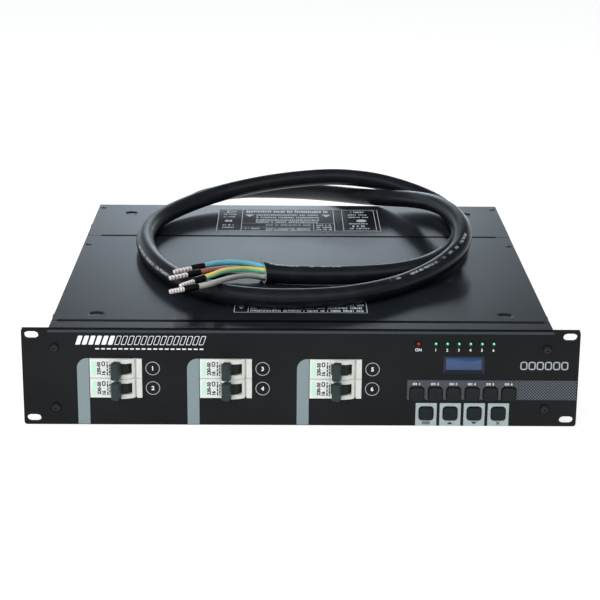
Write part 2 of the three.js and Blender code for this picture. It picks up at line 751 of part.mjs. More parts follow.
// Fan rotor: hub with twisted blades and a shaft that runs in the frame's hub
function fanRotor() {
  const front = fanStrutDepth + seat;
  const back = fanDepth - fanPlateGap;
  const hub = rodY(0, 0, fanHubRadius, front, back, 14);
  const shaft = rodY(0, 0, fanShaftRadius, 0, front + sink, 8);
  const tip = fanBoreRadius - fanTipGap;
  const mid = (front + back) / 2;
  const root = fanHubRadius / 2;
  const turn = THREE.MathUtils.degToRad(fanBladePitch);
  const chord = (fanChordShare * (back - front - 2 * fanBladeThickness)) / Math.cos(turn);
  const blades = indices(fanBlades).map((i) => block(
    -fanBladeThickness / 2, fanBladeThickness / 2, -chord / 2, chord / 2, root, tip)
    .rotateZ(turn).translate(0, mid, 0).rotateY((i * 2 * Math.PI) / fanBlades));
  return join(hub, shaft, ...blades);
}

// Finned heat sink behind the breakers, in the fan's air stream
function heatSink() {
  const [left, right] = [fanX - fanSize / 2, fanX + fanSize / 2];
  const back = sinkFront + sinkLength;
  const base = block(left, right, sinkFront, back, onFloor, onFloor + sinkBase);
  const step = (right - left - sinkFinThickness) / (sinkFins - 1);
  const fins = indices(sinkFins).map((i) => block(left + i * step, left + i * step + sinkFinThickness,
    sinkFront, back, onFloor + sinkBase - sink, onFloor + sinkHeight));
  return join(base, ...fins);
}

// Power board on four standoffs, with a choke for each channel, capacitors and two terminal strips
function powerBoard() {
  const left = outletLeft + powerMargin;
  const right = caseHalf - flangeWidth - powerMargin;
  const back = powerFront + powerDepth;
  const low = onFloor + boardStandoff;
  const top = low + boardThickness;
  const plate = block(left, right, powerFront, back, low, top);
  const standoffs = [left + standoffInset, right - standoffInset].flatMap((x) =>
    [powerFront + standoffInset, back - standoffInset].map((y) =>
      rodZ(x, y, standoffRadius, onFloor, low + sink, 8)));
  const pitch = (right - left) / channelCount;
  const chokeY = powerFront + powerDepth / 2;
  const chokeFlat = chokeWire * Math.sin(Math.PI / 3); // a six-sided section lies on its flat
  const chokes = indices(channelCount).map((i) => new THREE.TorusGeometry(chokeRadius, chokeWire, 6, 10)
    .translate(left + pitch / 2 + i * pitch, chokeY, top + chokeFlat - sink));
  const stripLeft = left + 2 * standoffInset;
  const stripRight = right - 2 * standoffInset;
  const terminals = [powerFront + terminalInset, back - terminalInset - terminalDepth].map((y) =>
    block(stripLeft, stripRight, y, y + terminalDepth, top - sink, top + terminalHeight));
  const capY = (chokeY + chokeRadius + chokeWire + back - terminalInset - terminalDepth) / 2;
  const caps = indices(pairCount).map((i) =>
    rodZ((left + right) / 2 + (i - 1) * capSpacing, capY, capRadius, top - sink, top + capHeight, 12));
  return join(plate, ...standoffs, ...chokes, ...terminals, ...caps);
}

// The lead's route: out of the gland, round behind the case, up over it and into two loose loops on the lids
const leadStart = caseDepth + seat + glandLength + seat;
const leadRoute = [
  [glandX, leadStart, midZ], [glandX, leadStart + leadDiameter, midZ],
  [-151.5, 517, 46.5], [-137, 543, 54.5], [-114.5, 560, 65], [-88, 567, 70.5], [-61.5, 565, 74],
  [-38, 556, 76.5], [3, 528, 82.4], [38, 492, 88.8], [58.5, 470.5, 92], [82, 449, 95.2], [104, 427, 99.5],
  [121, 401, 105], [141, 350, 113.5], [152.5, 312, 115.8], [159.5, 276.5, 115.5], [161.5, 237, 112.7],
  [153.5, 195.5, 106.8], [133, 160, 100.3], [103, 125, leadZ], [72, 94, leadZ], [36, 73.5, leadZ], [0, 66, leadZ],
  [-35, 67, leadZ], [-70, 79.5, leadZ], [-97, 102, leadZ], [-122, 142, leadZ], [-143, 199, leadZ],
  [-155, 270, leadZ], [-148, 340, leadZ], [-122, 395, 98], [-84, 437, 102], [-40, 459.5, 107],
  [2, 466.5, 111.5], [37.5, 467.5, 113.7], [58, 466, 113.3], [83, 462, 111.2], [103, 457, 107.8],
  [123, 447.5, 103.6], [139, 434, 100.2], [152.5, 411, 97.8], [161.5, 374, leadZ], [166, 318, leadZ],
  [161.5, 272, leadZ], [151.5, 238, leadZ], [137.5, 204, leadZ], [115.5, 171, leadZ], [88.5, 151.2, leadZ],
  [60.9, 142.9, leadZ], [29.9, 139.4, leadZ], [0, 139.8, leadZ], [-18, 143, leadZ], [-33, 147.4, leadZ],
].map(([x, y, z]) => new THREE.Vector3(x, y, z));
const leadCurve = new THREE.CatmullRomCurve3(leadRoute, false, 'centripetal');
leadCurve.arcLengthDivisions = 1200;

function tube(curve, radius, sides, steps) {
  const section = new THREE.Shape(circle(0, 0, radius, sides));
  return new THREE.ExtrudeGeometry(section, { steps, extrudePath: curve, bevelEnabled: false });
}

// Least distance between points of a curve that are well apart along it, less the diameter
function leastSelfGap(curve, diameter, samples) {
  const points = curve.getSpacedPoints(samples);
  const apart = Math.ceil((4 * diameter * samples) / curve.getLength());
  let least = Infinity;
  for (let i = 0; i < points.length; i += 1) {
    for (let j = i + apart; j < points.length; j += 1) {
      least = Math.min(least, points[i].distanceTo(points[j]));
    }
  }
  return least - diameter;
}

// Cores fan out from the lead's cut end; all but the black one climb over the loop in front of them
const leadEnd = leadRoute[leadRoute.length - 1];
const endWay = leadCurve.getTangent(1);
const endSide = new THREE.Vector3(0, 0, 1).cross(endWay).negate().normalize();
const coreRoutes = {
  blue: {
    clock: 90,
    points: [[-48, 150, 105], [-61, 145.2, 108.2], [-76, 138, 109],
      [-85.7, 129.3, 109.4], [-92.7, 121.1, 109.4]],
  },
  green_yellow: {
    clock: 162,
    points: [[-51.5, 134.5, 104], [-60.5, 122, 106.4], [-71.8, 105.1, 109],
      [-82.1, 88.5, 110.2], [-89, 78.5, 110.2]],
  },
  grey: {
    clock: 234,
    points: [[-52.5, 126, 96.8], [-61, 106, 102.2], [-72, 81, 108],
      [-83.6, 63, 110], [-93, 54.5, 110]],
  },
  black: {
    clock: 306,
    points: [[-50, 151.5, 92], [-58, 152.5, 91.6], [-66, 152, 91.6], [-75, 150, 91.6]],
  },
  brown: {
    clock: 18,
    points: [[-48, 155.5, 99.2], [-61.5, 141.5, 101.8], [-77, 121.5, 107.4],
      [-87, 107.5, 109.8], [-93.5, 99.5, 109.8]],
  },
};

function coreCurve({ clock, points }) {
  const angle = THREE.MathUtils.degToRad(clock);
  const start = leadEnd.clone().addScaledVector(endWay, seat)
    .addScaledVector(endSide, coreCircle * Math.cos(angle))
    .add(new THREE.Vector3(0, 0, coreCircle * Math.sin(angle)));
  const second = start.clone().addScaledVector(endWay, 2 * coreRadius);
  const rest = points.map((point) => new THREE.Vector3(...point));
  return new THREE.CatmullRomCurve3([start, second, ...rest], false, 'centripetal');
}

// One core with its black sleeve and crimped ferrule
function coreWire(route) {
  const curve = coreCurve(route);
  const ferruleEnd = sleeveLength + ferruleLength;
  const end = turnedY([[0, -coreRadius], [sleeveRadius, -coreRadius], [sleeveRadius, sleeveLength],
    [ferruleRadius, sleeveLength], [ferruleRadius, ferruleEnd], [0, ferruleEnd]], coreSides);
  const turn = new THREE.Quaternion().setFromUnitVectors(new THREE.Vector3(0, 1, 0), curve.getTangent(1));
  const tip = curve.getPoint(1);
  end.applyQuaternion(turn).translate(tip.x, tip.y, tip.z);
  return join(tube(curve, coreRadius, coreSides, coreSteps), end);
}

// Assembly: the front
place('front_panel', frontPanel(), panelPaint);
const screw = panelScrew();
const screwPlaces = [-screwX, screwX].flatMap((x) => [screwLowZ, screwHighZ].map((z) => [x, z]));
screwPlaces.forEach(([x, z], i) => place(`front_panel_screw_${i + 1}`, screw, blackSteel, x, -seat, z));
const pole = breakerBody();
const lever = breakerLever();
indices(pairCount).forEach((pair) => indices(polesPerPair).forEach((row) => {
  const number = pair * polesPerPair + row + 1;
  place(`breaker_${number}`, pole, whitePlastic, pairX(pair), 0, poleZ(row));
  place(`breaker_lever_${number}`, lever, leverPlastic, pairX(pair) + axleX, axleY, poleZ(row));
}));
place('breaker_rail', breakerRail(), zincSteel);
const lampBody = lamp();
place('status_lamp', lampBody, redLamp, statusLampX, 0, lampZ);
indices(channelCount).forEach((i) => place(`channel_lamp_${i + 1}`, lampBody, greenLamp, lampX(i), 0, lampZ));
place('control_board', controlBoard(), circuitBoard);
place('display_module', displayModule(), displayGlass);
const cap = keyCap();
indices(channelCount).forEach((i) =>
  place(`channel_key_${i + 1}`, cap, keyPlastic, channelKeyX(i), 0, channelKeyZ));
indices(menuCount).forEach((i) =>
  place(`menu_key_${i + 1}`, cap, keyPlastic, menuKeyX(i), 0, menuKeyZ));

// Assembly: the case
place('chassis_base', chassisBase(), casePaint);
const dimpleRearY = caseDepth - dimpleRearInset;
place('front_lid', lid(lidFront + seamGap, lidSplit, lidSplit, dimpleFrontY), casePaint);
place('rear_lid', lid(lidSplit + seamGap, caseDepth, rearInner - seat, dimpleRearY), casePaint);
place('rear_panel', rearPanel(), casePaint);

// Assembly: the rear and the inside
const socket = outlet();
indices(channelCount).forEach((i) =>
  place(`outlet_${i + 1}`, socket, outletPlastic, outletX(i), caseDepth + seat, midZ));
place('data_in', dataConnector(true), blackSteel, dataX, caseDepth + seat, midZ + dataPitch / 2);
place('data_out', dataConnector(false), blackSteel, dataX, caseDepth + seat, midZ - dataPitch / 2);
place('cable_gland', cableGland(), glandPlastic, glandX, caseDepth + seat, midZ);
place('fan_frame', fanFrame(), blackSteel, fanX, fanFront, midZ);
place('fan_rotor', fanRotor(), blackSteel, fanX, fanFront, midZ);
place('triac_heat_sink', heatSink(), aluminium);
place('power_board', powerBoard(), circuitBoard);

// Assembly: the mains lead
place('mains_lead', join(tube(leadCurve, leadDiameter / 2, leadSides, leadSteps)), leadRubber);
Object.entries(coreRoutes).forEach(([colour, route]) =>
  place(`core_${colour}`, coreWire(route), finish(coreColours[colour], 0.45, 0)));
console.log(`mains lead: ${leadCurve.getLength().toFixed(0)} mm long, least gap to itself `
  + `${leastSelfGap(leadCurve, leadDiameter, 900).toFixed(2)} mm`);

export default group;
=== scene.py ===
"""Dimmer pack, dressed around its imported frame: fine pieces, finishes, a pale studio and a camera.

Surfaces are worked out in millimetres in the pack's own frame and become metres when their mesh is made.
Places come from the frame's nodes, so each piece lies where the frame says.
"""

import logging
import math
from collections.abc import Sequence
from dataclasses import dataclass
from enum import Enum
from typing import Any, ClassVar

import bmesh
import bpy
import numpy as np
from mathutils import Matrix, Vector


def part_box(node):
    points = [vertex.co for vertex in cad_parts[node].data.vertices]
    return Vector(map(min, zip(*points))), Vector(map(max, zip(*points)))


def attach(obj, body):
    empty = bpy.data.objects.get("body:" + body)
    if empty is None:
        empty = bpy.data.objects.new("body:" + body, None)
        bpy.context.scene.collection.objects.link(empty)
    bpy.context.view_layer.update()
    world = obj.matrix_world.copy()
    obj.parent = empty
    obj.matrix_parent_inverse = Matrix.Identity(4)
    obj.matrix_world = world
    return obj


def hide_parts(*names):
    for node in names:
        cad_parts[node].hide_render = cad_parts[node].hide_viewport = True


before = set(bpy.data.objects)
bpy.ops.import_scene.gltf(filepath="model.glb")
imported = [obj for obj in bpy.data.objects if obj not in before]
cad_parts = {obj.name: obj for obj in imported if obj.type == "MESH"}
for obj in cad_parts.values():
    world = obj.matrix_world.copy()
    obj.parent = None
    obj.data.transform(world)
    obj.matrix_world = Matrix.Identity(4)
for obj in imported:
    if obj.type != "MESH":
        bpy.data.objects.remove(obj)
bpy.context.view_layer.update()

LOG = logging.getLogger("dimmer_pack")
ROOT_BODY = "pack"
CHANNELS = 6
MENU_KEYS = 4
MM = 0.001  # metres in a millimetre
UP = np.array([0.0, 0.0, 1.0])
PRINT_DEPTH = 0.06  # thickness of a printed layer
SEAT = 0.3  # how far a mounted piece stands off the face behind it
MERGE = 0.002  # points closer than this become one
CREASE = 32.0  # degrees past which an edge stays sharp


def node_low(node: str) -> np.ndarray:
    """Lowest corner of a frame node, in millimetres."""
    return np.array(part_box(node)[0]) / MM


def node_high(node: str) -> np.ndarray:
    """Highest corner of a frame node, in millimetres."""
    return np.array(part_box(node)[1]) / MM


def node_middle(node: str) -> np.ndarray:
    """Middle of a frame node's box, in millimetres."""
    return (node_low(node) + node_high(node)) / 2


FRONT_Y = node_low("front_panel")[1]
REAR_Y = node_high("chassis_base")[1]
LID_Z = node_high("front_lid")[2]
CASE_HALF = node_high("chassis_base")[0]


def linked(name: str, data: bpy.types.ID) -> bpy.types.Object:
    """New object of the scene that holds the data."""
    item = bpy.data.objects.new(name, data)
    bpy.context.scene.collection.objects.link(item)
    return item


# Surfaces


@dataclass
class Surface:
    """Mesh in the making: points in millimetres, faces of point numbers, and a UV pair for each corner."""

    points: np.ndarray
    faces: list
    uv: np.ndarray

    def __add__(self, other: "Surface") -> "Surface":
        """Both surfaces as one, with the other's point numbers moved up."""
        shift = len(self.points)
        faces = self.faces + [[corner + shift for corner in face] for face in other.faces]
        return Surface(np.vstack([self.points, other.points]), faces, np.vstack([self.uv, other.uv]))

    def moved(self, x: float = 0.0, y: float = 0.0, z: float = 0.0) -> "Surface":
        """The surface moved by a distance along each axis."""
        return Surface(self.points + np.array([x, y, z]), self.faces, self.uv)

    def mapped(self, axes: np.ndarray, origin: Sequence[float] = (0.0, 0.0, 0.0)) -> "Surface":
        """The surface in other axes.

        Args:
            axes: rows that say where the surface's own X, Y and Z point.
            origin: where the surface's own origin goes.

        Returns:
            The surface with each point p at origin + p.x * axes[0] + p.y * axes[1] + p.z * axes[2].
        """
        return Surface(self.points @ axes + np.array(origin), self.faces, self.uv)


def joined(parts: Sequence[Surface]) -> Surface:
    """All the surfaces as one."""
    whole = parts[0]
    for part in parts[1:]:
        whole = whole + part
    return whole


def lofted(rows: np.ndarray, u: np.ndarray | None = None, loop: bool = False) -> Surface:
    """Skin over a grid of points, whose rows are closed cross-sections.

    Args:
        rows: array of shape (rows, points in a row, 3).
        u: first UV value of each row, or None for an even spread from 0 to 1.
        loop: whether the last row joins the first, as on a ring; else flat faces close both ends.

    Returns:
        The surface, in which the second UV value runs from 0 to 1 around each row.
    """
    if loop:
        rows = np.concatenate([rows, rows[:1]])
    count, around = rows.shape[:2]
    u = np.linspace(0, 1, count) if u is None else u
    v = np.linspace(0, 1, around + 1)
    i, j = np.meshgrid(np.arange(count - 1), np.arange(around), indexing="ij")
    corners = [(i, j), (i + 1, j), (i + 1, j + 1), (i, j + 1)]
    quads = np.stack([a * around + b % around for a, b in corners], axis=-1).reshape(-1, 4).tolist()
    uv = np.stack([np.stack([u[a], v[b]], axis=-1) for a, b in corners], axis=2).reshape(-1, 2)
    if not loop:
        quads.append(list(range(around)))
        quads.append(list(range((count - 1) * around, count * around))[::-1])
        cap = np.column_stack([np.repeat([u[0], u[-1]], around), np.tile(v[:-1], 2)])
        uv = np.vstack([uv, cap])
    return Surface(rows.reshape(-1, 3), quads, uv)


def full_turn(count: int) -> np.ndarray:
    """Angles spread evenly over a whole turn, without its end."""
    return np.linspace(0, 2 * np.pi, count, endpoint=False)


def rings(radius: np.ndarray, height: np.ndarray) -> np.ndarray:
    """Rows of points about Z, each at (radius * cos a, radius * sin a, height) for its angle a.

    Args:
        radius: array of shape (rows, angles), with the angles spread over a whole turn.
        height: height of each row.

    Returns:
        Array of shape (rows, angles, 3).
    """
    angle = full_turn(radius.shape[1])
    rows = [radius * np.cos(angle), radius * np.sin(angle), np.broadcast_to(height[:, None], radius.shape)]
    return np.stack(rows, axis=-1)


def shell(rows: Sequence[tuple[np.ndarray, float]]) -> Surface:
    """Skin over rows about Z, each given as its radius at every angle and its height."""
    radii, heights = zip(*rows)
    return lofted(rings(np.stack(radii), np.array(heights)))


def turned(profile: Sequence[Sequence[float]], sides: int = 32) -> Surface:
    """Turned piece about Z: each (radius, height) pair of the profile becomes a circle of that radius.

    Args:
        profile: pairs of radius and height.
        sides: points in each circle.

    Returns:
        The surface, with flat faces over its first and last circle.
    """
    radius, height = np.array(profile, float).T
    return lofted(rings(np.repeat(radius[:, None], sides, axis=1), height))


def polygon_radius(angle: np.ndarray, sides: int, hardness: np.ndarray) -> np.ndarray:
    """Share of the corner radius at each angle of a polygon, between a circle and the true polygon.

    The flat's distance is cos(pi / sides) over the cosine of the angle to the nearest flat's middle, and
    hardness mixes that with 1, the circle.

    Args:
        angle: the angles.
        sides: the polygon's sides.
        hardness: 0 for a circle up to 1 for the polygon.

    Returns:
        The share at each angle.
    """
    step = 2 * np.pi / sides
    flat = math.cos(step / 2) / np.cos((angle + step / 2) % step - step / 2)
    return 1 + (flat - 1) * hardness


def hexed(profile: Sequence[Sequence[float]], sides: int) -> Surface:
    """Piece about Z whose rows are circles, hexagons or something between.

    Args:
        profile: radius, height and hardness of each row, where 0 is a circle and 1 a hexagon.
        sides: points in each row.

    Returns:
        The surface, with flat faces over its first and last row.
    """
    radius, height, hardness = np.array(profile, float).T
    return lofted(rings(radius[:, None] * polygon_radius(full_turn(sides), 6, hardness[:, None]), height))


def rounded_edge(width: float, height: float, power: int, sides: int) -> np.ndarray:
    """Distance from the middle to the edge of a rounded rectangle, at each angle of a whole turn.

    The edge is the superellipse (|cos a / w|^n + |sin a / h|^n)^(-1/n) with half sizes w and h, so that
    each of its points has a partner on a round well.

    Args:
        width: size along X.
        height: size along Y.
        power: n, which is larger for harder corners.
        sides: number of angles.

    Returns:
        The distance at each angle.
    """
    angle = full_turn(sides)
    across, upward = np.abs(np.cos(angle) / (width / 2)), np.abs(np.sin(angle) / (height / 2))
    return (across ** power + upward ** power) ** (-1 / power)


def round_rectangle(width: float, height: float, radius: float, steps: int = 6) -> np.ndarray:
    """Outline of a rectangle with round corners.

    Each corner is a quarter circle about a point that lies one radius inside both sides.

    Args:
        width: size along X.
        height: size along Y.
        radius: corner radius.
        steps: steps in each corner.

    Returns:
        Array of (x, y) pairs.
    """
    quarter = np.linspace(0, np.pi / 2, steps + 1)
    angle = np.concatenate([quarter + turn * np.pi / 2 for turn in range(4)])
    reach = np.array([[1, 1], [-1, 1], [-1, -1], [1, -1]]) * [width / 2 - radius, height / 2 - radius]
    middle = np.repeat(reach, steps + 1, axis=0)
    return middle + radius * np.column_stack([np.cos(angle), np.sin(angle)])


def circle(radius: float, sides: int = 48) -> np.ndarray:
    """Outline of a circle, as an array of (x, y) pairs."""
    angle = full_turn(sides)
    return radius * np.column_stack([np.cos(angle), np.sin(angle)])


def flat_shape(outline: np.ndarray, depth: float = PRINT_DEPTH) -> Surface:
    """Plate of a given outline in XY, from z = 0 up to its depth."""
    rows = np.stack([np.column_stack([outline, np.full(len(outline), z)]) for z in (0.0, depth)])
    return lofted(rows)


def flat_ring(outer: np.ndarray, inner: np.ndarray, depth: float = PRINT_DEPTH) -> Surface:
    """Plate between two outlines with as many points each, from z = 0 up to its depth."""
    pairs = [(outer, 0.0), (outer, depth), (inner, depth), (inner, 0.0)]
    rows = np.stack([np.column_stack([line, np.full(len(line), z)]) for line, z in pairs])
    return lofted(rows, loop=True)


def outline_frame(width: float, height: float, line: float, radius: float = 0.2) -> Surface:
    """Thin rectangular frame with a line of a given width, drawn inside its outer size."""
    outer = round_rectangle(width, height, radius + line, 2)
    inner = round_rectangle(width - 2 * line, height - 2 * line, radius, 2)
    return flat_ring(outer, inner)


def pillow(width: float, height: float, radius: float, profile: Sequence[Sequence[float]]) -> Surface:
    """Rounded block along Z whose outline is drawn in by an inset at each height.

    Args:
        width: largest size along X.
        height: largest size along Y.
        radius: corner radius at no inset.
        profile: pairs of inset and height along Z, from one end to the other.

    Returns:
        The closed surface.
    """
    rows = [
        np.column_stack([
            round_rectangle(width - 2 * inset, height - 2 * inset, max(radius - inset, 0.15)),
            np.full(4 * 7, z),
        ])
        for inset, z in profile
    ]
    return lofted(np.stack(rows))


def edge_round(radius: float, at: float, up: bool = True, steps: int = 4) -> list[tuple[float, float]]:
    """Pairs of inset and height for a quarter-round edge that ends at a height.

    The inset is radius * (1 - cos a) and the height is short of the end by radius * (1 - sin a), with a from
    0 to a quarter turn; a lower edge runs the other way.

    Args:
        radius: the edge's radius.
        at: height of the end.
        up: whether it is an upper edge.
        steps: steps in the quarter turn.

    Returns:
        The pairs, in the order of their height.
    """
    angle = np.linspace(0, np.pi / 2, steps + 1)
    inset = radius * (1 - np.cos(angle))
    short = radius * (1 - np.sin(angle))
    pairs = list(zip(inset.tolist(), (at - short if up else at + short).tolist()))
    return pairs if up else pairs[::-1]


def smooth_path(points: np.ndarray, spacing: float) -> np.ndarray:
    """Points at an even spacing along a centripetal Catmull-Rom curve.

    Between two points the curve is a cubic whose end tangents weigh the neighbouring chords by the fourth
    root of their squared lengths. It is sampled finely and then read off at equal steps of its length.

    Args:
        points: array of shape (points, 3) that the curve runs through.
        spacing: wanted distance between the samples.

    Returns:
        Array of shape (samples, 3).
    """
    padded = np.vstack([2 * points[0] - points[1], points, 2 * points[-1] - points[-2]])
    before, start, end, after = padded[:-3], padded[1:-2], padded[2:-1], padded[3:]
    first, own, last = (np.sum((b - a) ** 2, axis=1, keepdims=True) ** 0.25
                        for a, b in ((before, start), (start, end), (end, after)))
    leave = ((start - before) / first - (end - before) / (first + own) + (end - start) / own) * own
    arrive = ((end - start) / own - (after - start) / (own + last) + (after - end) / last) * own
    t = np.linspace(0, 1, 40, endpoint=False)[None, :, None]
    start, end, leave, arrive = (value[:, None, :] for value in (start, end, leave, arrive))
    fine = (start + leave * t + (3 * (end - start) - 2 * leave - arrive) * t**2
            + (2 * (start - end) + leave + arrive) * t**3).reshape(-1, 3)
    fine = np.vstack([fine, points[-1]])
    along = np.concatenate([[0.0], np.cumsum(np.linalg.norm(np.diff(fine, axis=0), axis=1))])
    even = np.linspace(0, along[-1], max(2, round(along[-1] / spacing) + 1))
    return np.column_stack([np.interp(even, along, fine[:, axis]) for axis in range(3)])


def path_length(path: np.ndarray) -> float:
    """Length of a line through points."""
    return float(np.linalg.norm(np.diff(path, axis=0), axis=1).sum())


def path_axes(path: np.ndarray) -> tuple[np.ndarray, np.ndarray, np.ndarray]:
    """Direction, side and upward vector at each point of a path that never runs straight up.

    The side is the direction crossed with world up, made one long, and the third is the side crossed with
    the direction.
    """
    way = np.gradient(path, axis=0)
    way /= np.linalg.norm(way, axis=1, keepdims=True)
    side = np.cross(way, UP)
    side /= np.linalg.norm(side, axis=1, keepdims=True)
    return way, side, np.cross(side, way)


def sleeve_rows(path: np.ndarray, radius: np.ndarray, sides: int) -> np.ndarray:
    """Cross-sections around a path.

    A row's point at angle a lies at the path's point + radius * (side * cos a + upward * sin a).

    Args:
        path: array of shape (rows, 3).
        radius: radius of each row, or of each row and angle.
        sides: points in a row.

    Returns:
        Array of shape (rows, sides, 3).
    """
    _, side, upward = path_axes(path)
    angle = full_turn(sides)
    out = side[:, None, :] * np.cos(angle)[None, :, None] + upward[:, None, :] * np.sin(angle)[None, :, None]
    radius = np.broadcast_to(radius if radius.ndim == 2 else radius[:, None], (len(path), sides))
    return path[:, None, :] + radius[:, :, None] * out


def lettering(text: str, height: float, weight: float = 0.02) -> Surface:
    """Flat characters in XY, centred on the origin.

    Args:
        text: the characters.
        height: their height.
        weight: how far their strokes are fattened, as a share of their size.

    Returns:
        The surface, from z = 0 up to a print's depth.
    """
    curve = bpy.data.curves.new("characters", "FONT")
    curve.body = text
    curve.extrude = 0.5
    curve.offset = weight
    curve.resolution_u = 4
    carrier = linked("characters", curve)
    mesh = bpy.data.meshes.new_from_object(carrier.evaluated_get(bpy.context.evaluated_depsgraph_get()))
    points = np.empty(3 * len(mesh.vertices))
    mesh.vertices.foreach_get("co", points)
    points = points.reshape(-1, 3)
    faces = [list(polygon.vertices) for polygon in mesh.polygons]
    low, high = points.min(axis=0), points.max(axis=0)
    points = (points - [(low[0] + high[0]) / 2, (low[1] + high[1]) / 2, low[2]])
    points *= [height / (high[1] - low[1])] * 2 + [PRINT_DEPTH / (high[2] - low[2])]
    bpy.data.objects.remove(carrier)
    bpy.data.curves.remove(curve)
    bpy.data.meshes.remove(mesh)
    return Surface(points, faces, np.zeros((sum(map(len, faces)), 2)))


class Side(Enum):
    """Outer faces that prints and small pieces lie on, as the world directions of right, up and out."""

    FRONT = ((1, 0, 0), (0, 0, 1), (0, -1, 0))
    REAR = ((-1, 0, 0), (0, 0, 1), (0, 1, 0))
    TOP = ((1, 0, 0), (0, 1, 0), (0, 0, 1))
    LEFT = ((0, -1, 0), (0, 0, 1), (-1, 0, 0))
    RIGHT = ((0, 1, 0), (0, 0, 1), (1, 0, 0))

    def put(self, surface: Surface, x: float, y: float, z: float) -> Surface:
        """The surface with its own Z turned outwards and its origin at a place of the pack's frame."""
        return surface.mapped(np.array(self.value, float), (x, y, z))


# Meshes and pieces


def publish(
    name: str,
    surface: Surface,
    finish: "Finish",
    body: str = ROOT_BODY,
    nodes: Sequence[str] = (),
    crease: float = CREASE,
) -> bpy.types.Object:
    """Makes a surface a piece of the scene.

    Args:
        name: the piece's name.
        surface: its shape, in millimetres.
        finish: its finish.
        body: the frame body that it rides on.
        nodes: frame nodes that it stands for.
        crease: angle in degrees past which an edge stays sharp.

    Returns:
        The new object.
    """
    mesh = bpy.data.meshes.new(name)
    mesh.from_pydata((surface.points * MM).tolist(), [], surface.faces)
    mesh.uv_layers.new(name="UVMap").data.foreach_set("uv", surface.uv.astype(np.float32).ravel())
    work = bmesh.new()
    work.from_mesh(mesh)
    bmesh.ops.remove_doubles(work, verts=work.verts, dist=MERGE * MM)
    bmesh.ops.recalc_face_normals(work, faces=work.faces)
    work.to_mesh(mesh)
    work.free()
    mesh.shade_smooth()
    mesh.set_sharp_from_angle(angle=math.radians(crease))
    return enrol(name, mesh, finish, body, nodes)


def enrol(
    name: str,
    mesh: bpy.types.Mesh,
    finish: "Finish",
    body: str,
    nodes: Sequence[str],
) -> bpy.types.Object:
    """Links a mesh as an object, gives it its finish, sets it on its body and hides the nodes that it stands
    for.

    Args:
        name: the piece's name.
        mesh: its finished mesh.
        finish: its finish.
        body: the frame body that it rides on.
        nodes: frame nodes that it stands for.

    Returns:
        The new object.
    """
    piece = linked(name, mesh)
    mesh.materials.clear()
    mesh.materials.append(finish.material())
    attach(piece, body)
    if nodes:
        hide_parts(*nodes)
    LOG.info("%s: %d points on %s", name, len(mesh.vertices), body)
    return piece


def refined(
    node: str,
    name: str,
    finish: "Finish",
    edge: float,
    body: str = ROOT_BODY,
) -> bpy.types.Object:
    """Finer copy of a frame node: its flat triangles are merged and its sharp edges are rounded.

    Args:
        node: the node to copy and stand for.
        name: the piece's name.
        finish: its finish.
        edge: width of the rounded edges, in millimetres.
        body: the frame body that it rides on.

    Returns:
        The new object.
    """
    mesh = bpy.data.meshes.new(name)
    work = bmesh.new()
    work.from_mesh(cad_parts[node].data)
    bmesh.ops.remove_doubles(work, verts=work.verts, dist=MERGE * MM)
    bmesh.ops.dissolve_limit(work, angle_limit=math.radians(0.5), verts=work.verts, edges=work.edges)
    work.to_mesh(mesh)
    work.free()
    mesh.shade_smooth()
    piece = enrol(name, mesh, finish, body, [node])
    bevel = piece.modifiers.new("Edges", "BEVEL")
    bevel.width = edge * MM
    bevel.segments = 2
    bevel.limit_method = "ANGLE"
    bevel.angle_limit = math.radians(CREASE)
    weighted = piece.modifiers.new("Normals", "WEIGHTED_NORMAL")
    weighted.keep_sharp = True
    weighted.weight = 100
    return piece


def dress(node: str, finish: "Finish") -> None:
    """Gives a frame node that keeps its own shape a finish."""
    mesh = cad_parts[node].data
    mesh.materials.clear()
    mesh.materials.append(finish.material())


# Shader expressions


Value = "Expression | float | Sequence[float]"


class Expression:
    """Shader socket that can be used in sums, products and comparisons, each of which adds a Math node."""

    def __init__(self, shader: "Shader", socket: bpy.types.NodeSocket) -> None:
        """Wraps a socket of a shader's tree."""
        self.shader = shader
        self.socket = socket

    def maths(self, operation: str, *others: Any) -> "Expression":
        """Result of a Math node on this value and others, which are values or expressions."""
        return self.shader.node("Math", {"operation": operation}, dict(enumerate((self, *others))))

    def __add__(self, other: Value) -> "Expression":
        """Sum."""
        return self.maths("ADD", other)

    __radd__ = __add__

    def __sub__(self, other: Value) -> "Expression":
        """Difference."""
        return self.maths("SUBTRACT", other)

    def __rsub__(self, other: Value) -> "Expression":
        """Difference, the other way round."""
        return self * -1 + other

    def __mul__(self, other: Value) -> "Expression":
        """Product."""
        return self.maths("MULTIPLY", other)

    __rmul__ = __mul__

    def __truediv__(self, other: Value) -> "Expression":
        """Quotient."""
        return self.maths("DIVIDE", other)

    def __gt__(self, other: Value) -> "Expression":
        """1 where this is greater than the other, else 0."""
        return self.maths("GREATER_THAN", other)

    def __lt__(self, other: Value) -> "Expression":
        """1 where this is less than the other, else 0."""
        return self.maths("LESS_THAN", other)

    def band(self, low: float, high: float) -> "Expression":
        """1 between two values, else 0."""
        return (self > low) * (self < high)

    def cells(self, size: float) -> "Expression":
        """Number of the cell of a given size that this value falls in."""
        return (self / size).maths("FLOOR")

    def ramp(self, low: float, high: float) -> "Expression":
        """0 below low and 1 above high, with a smooth step between."""
        return self.shader.node("MapRange", {"interpolation_type": "SMOOTHSTEP"},
                                {"Value": self, "From Min": low, "From Max": high})


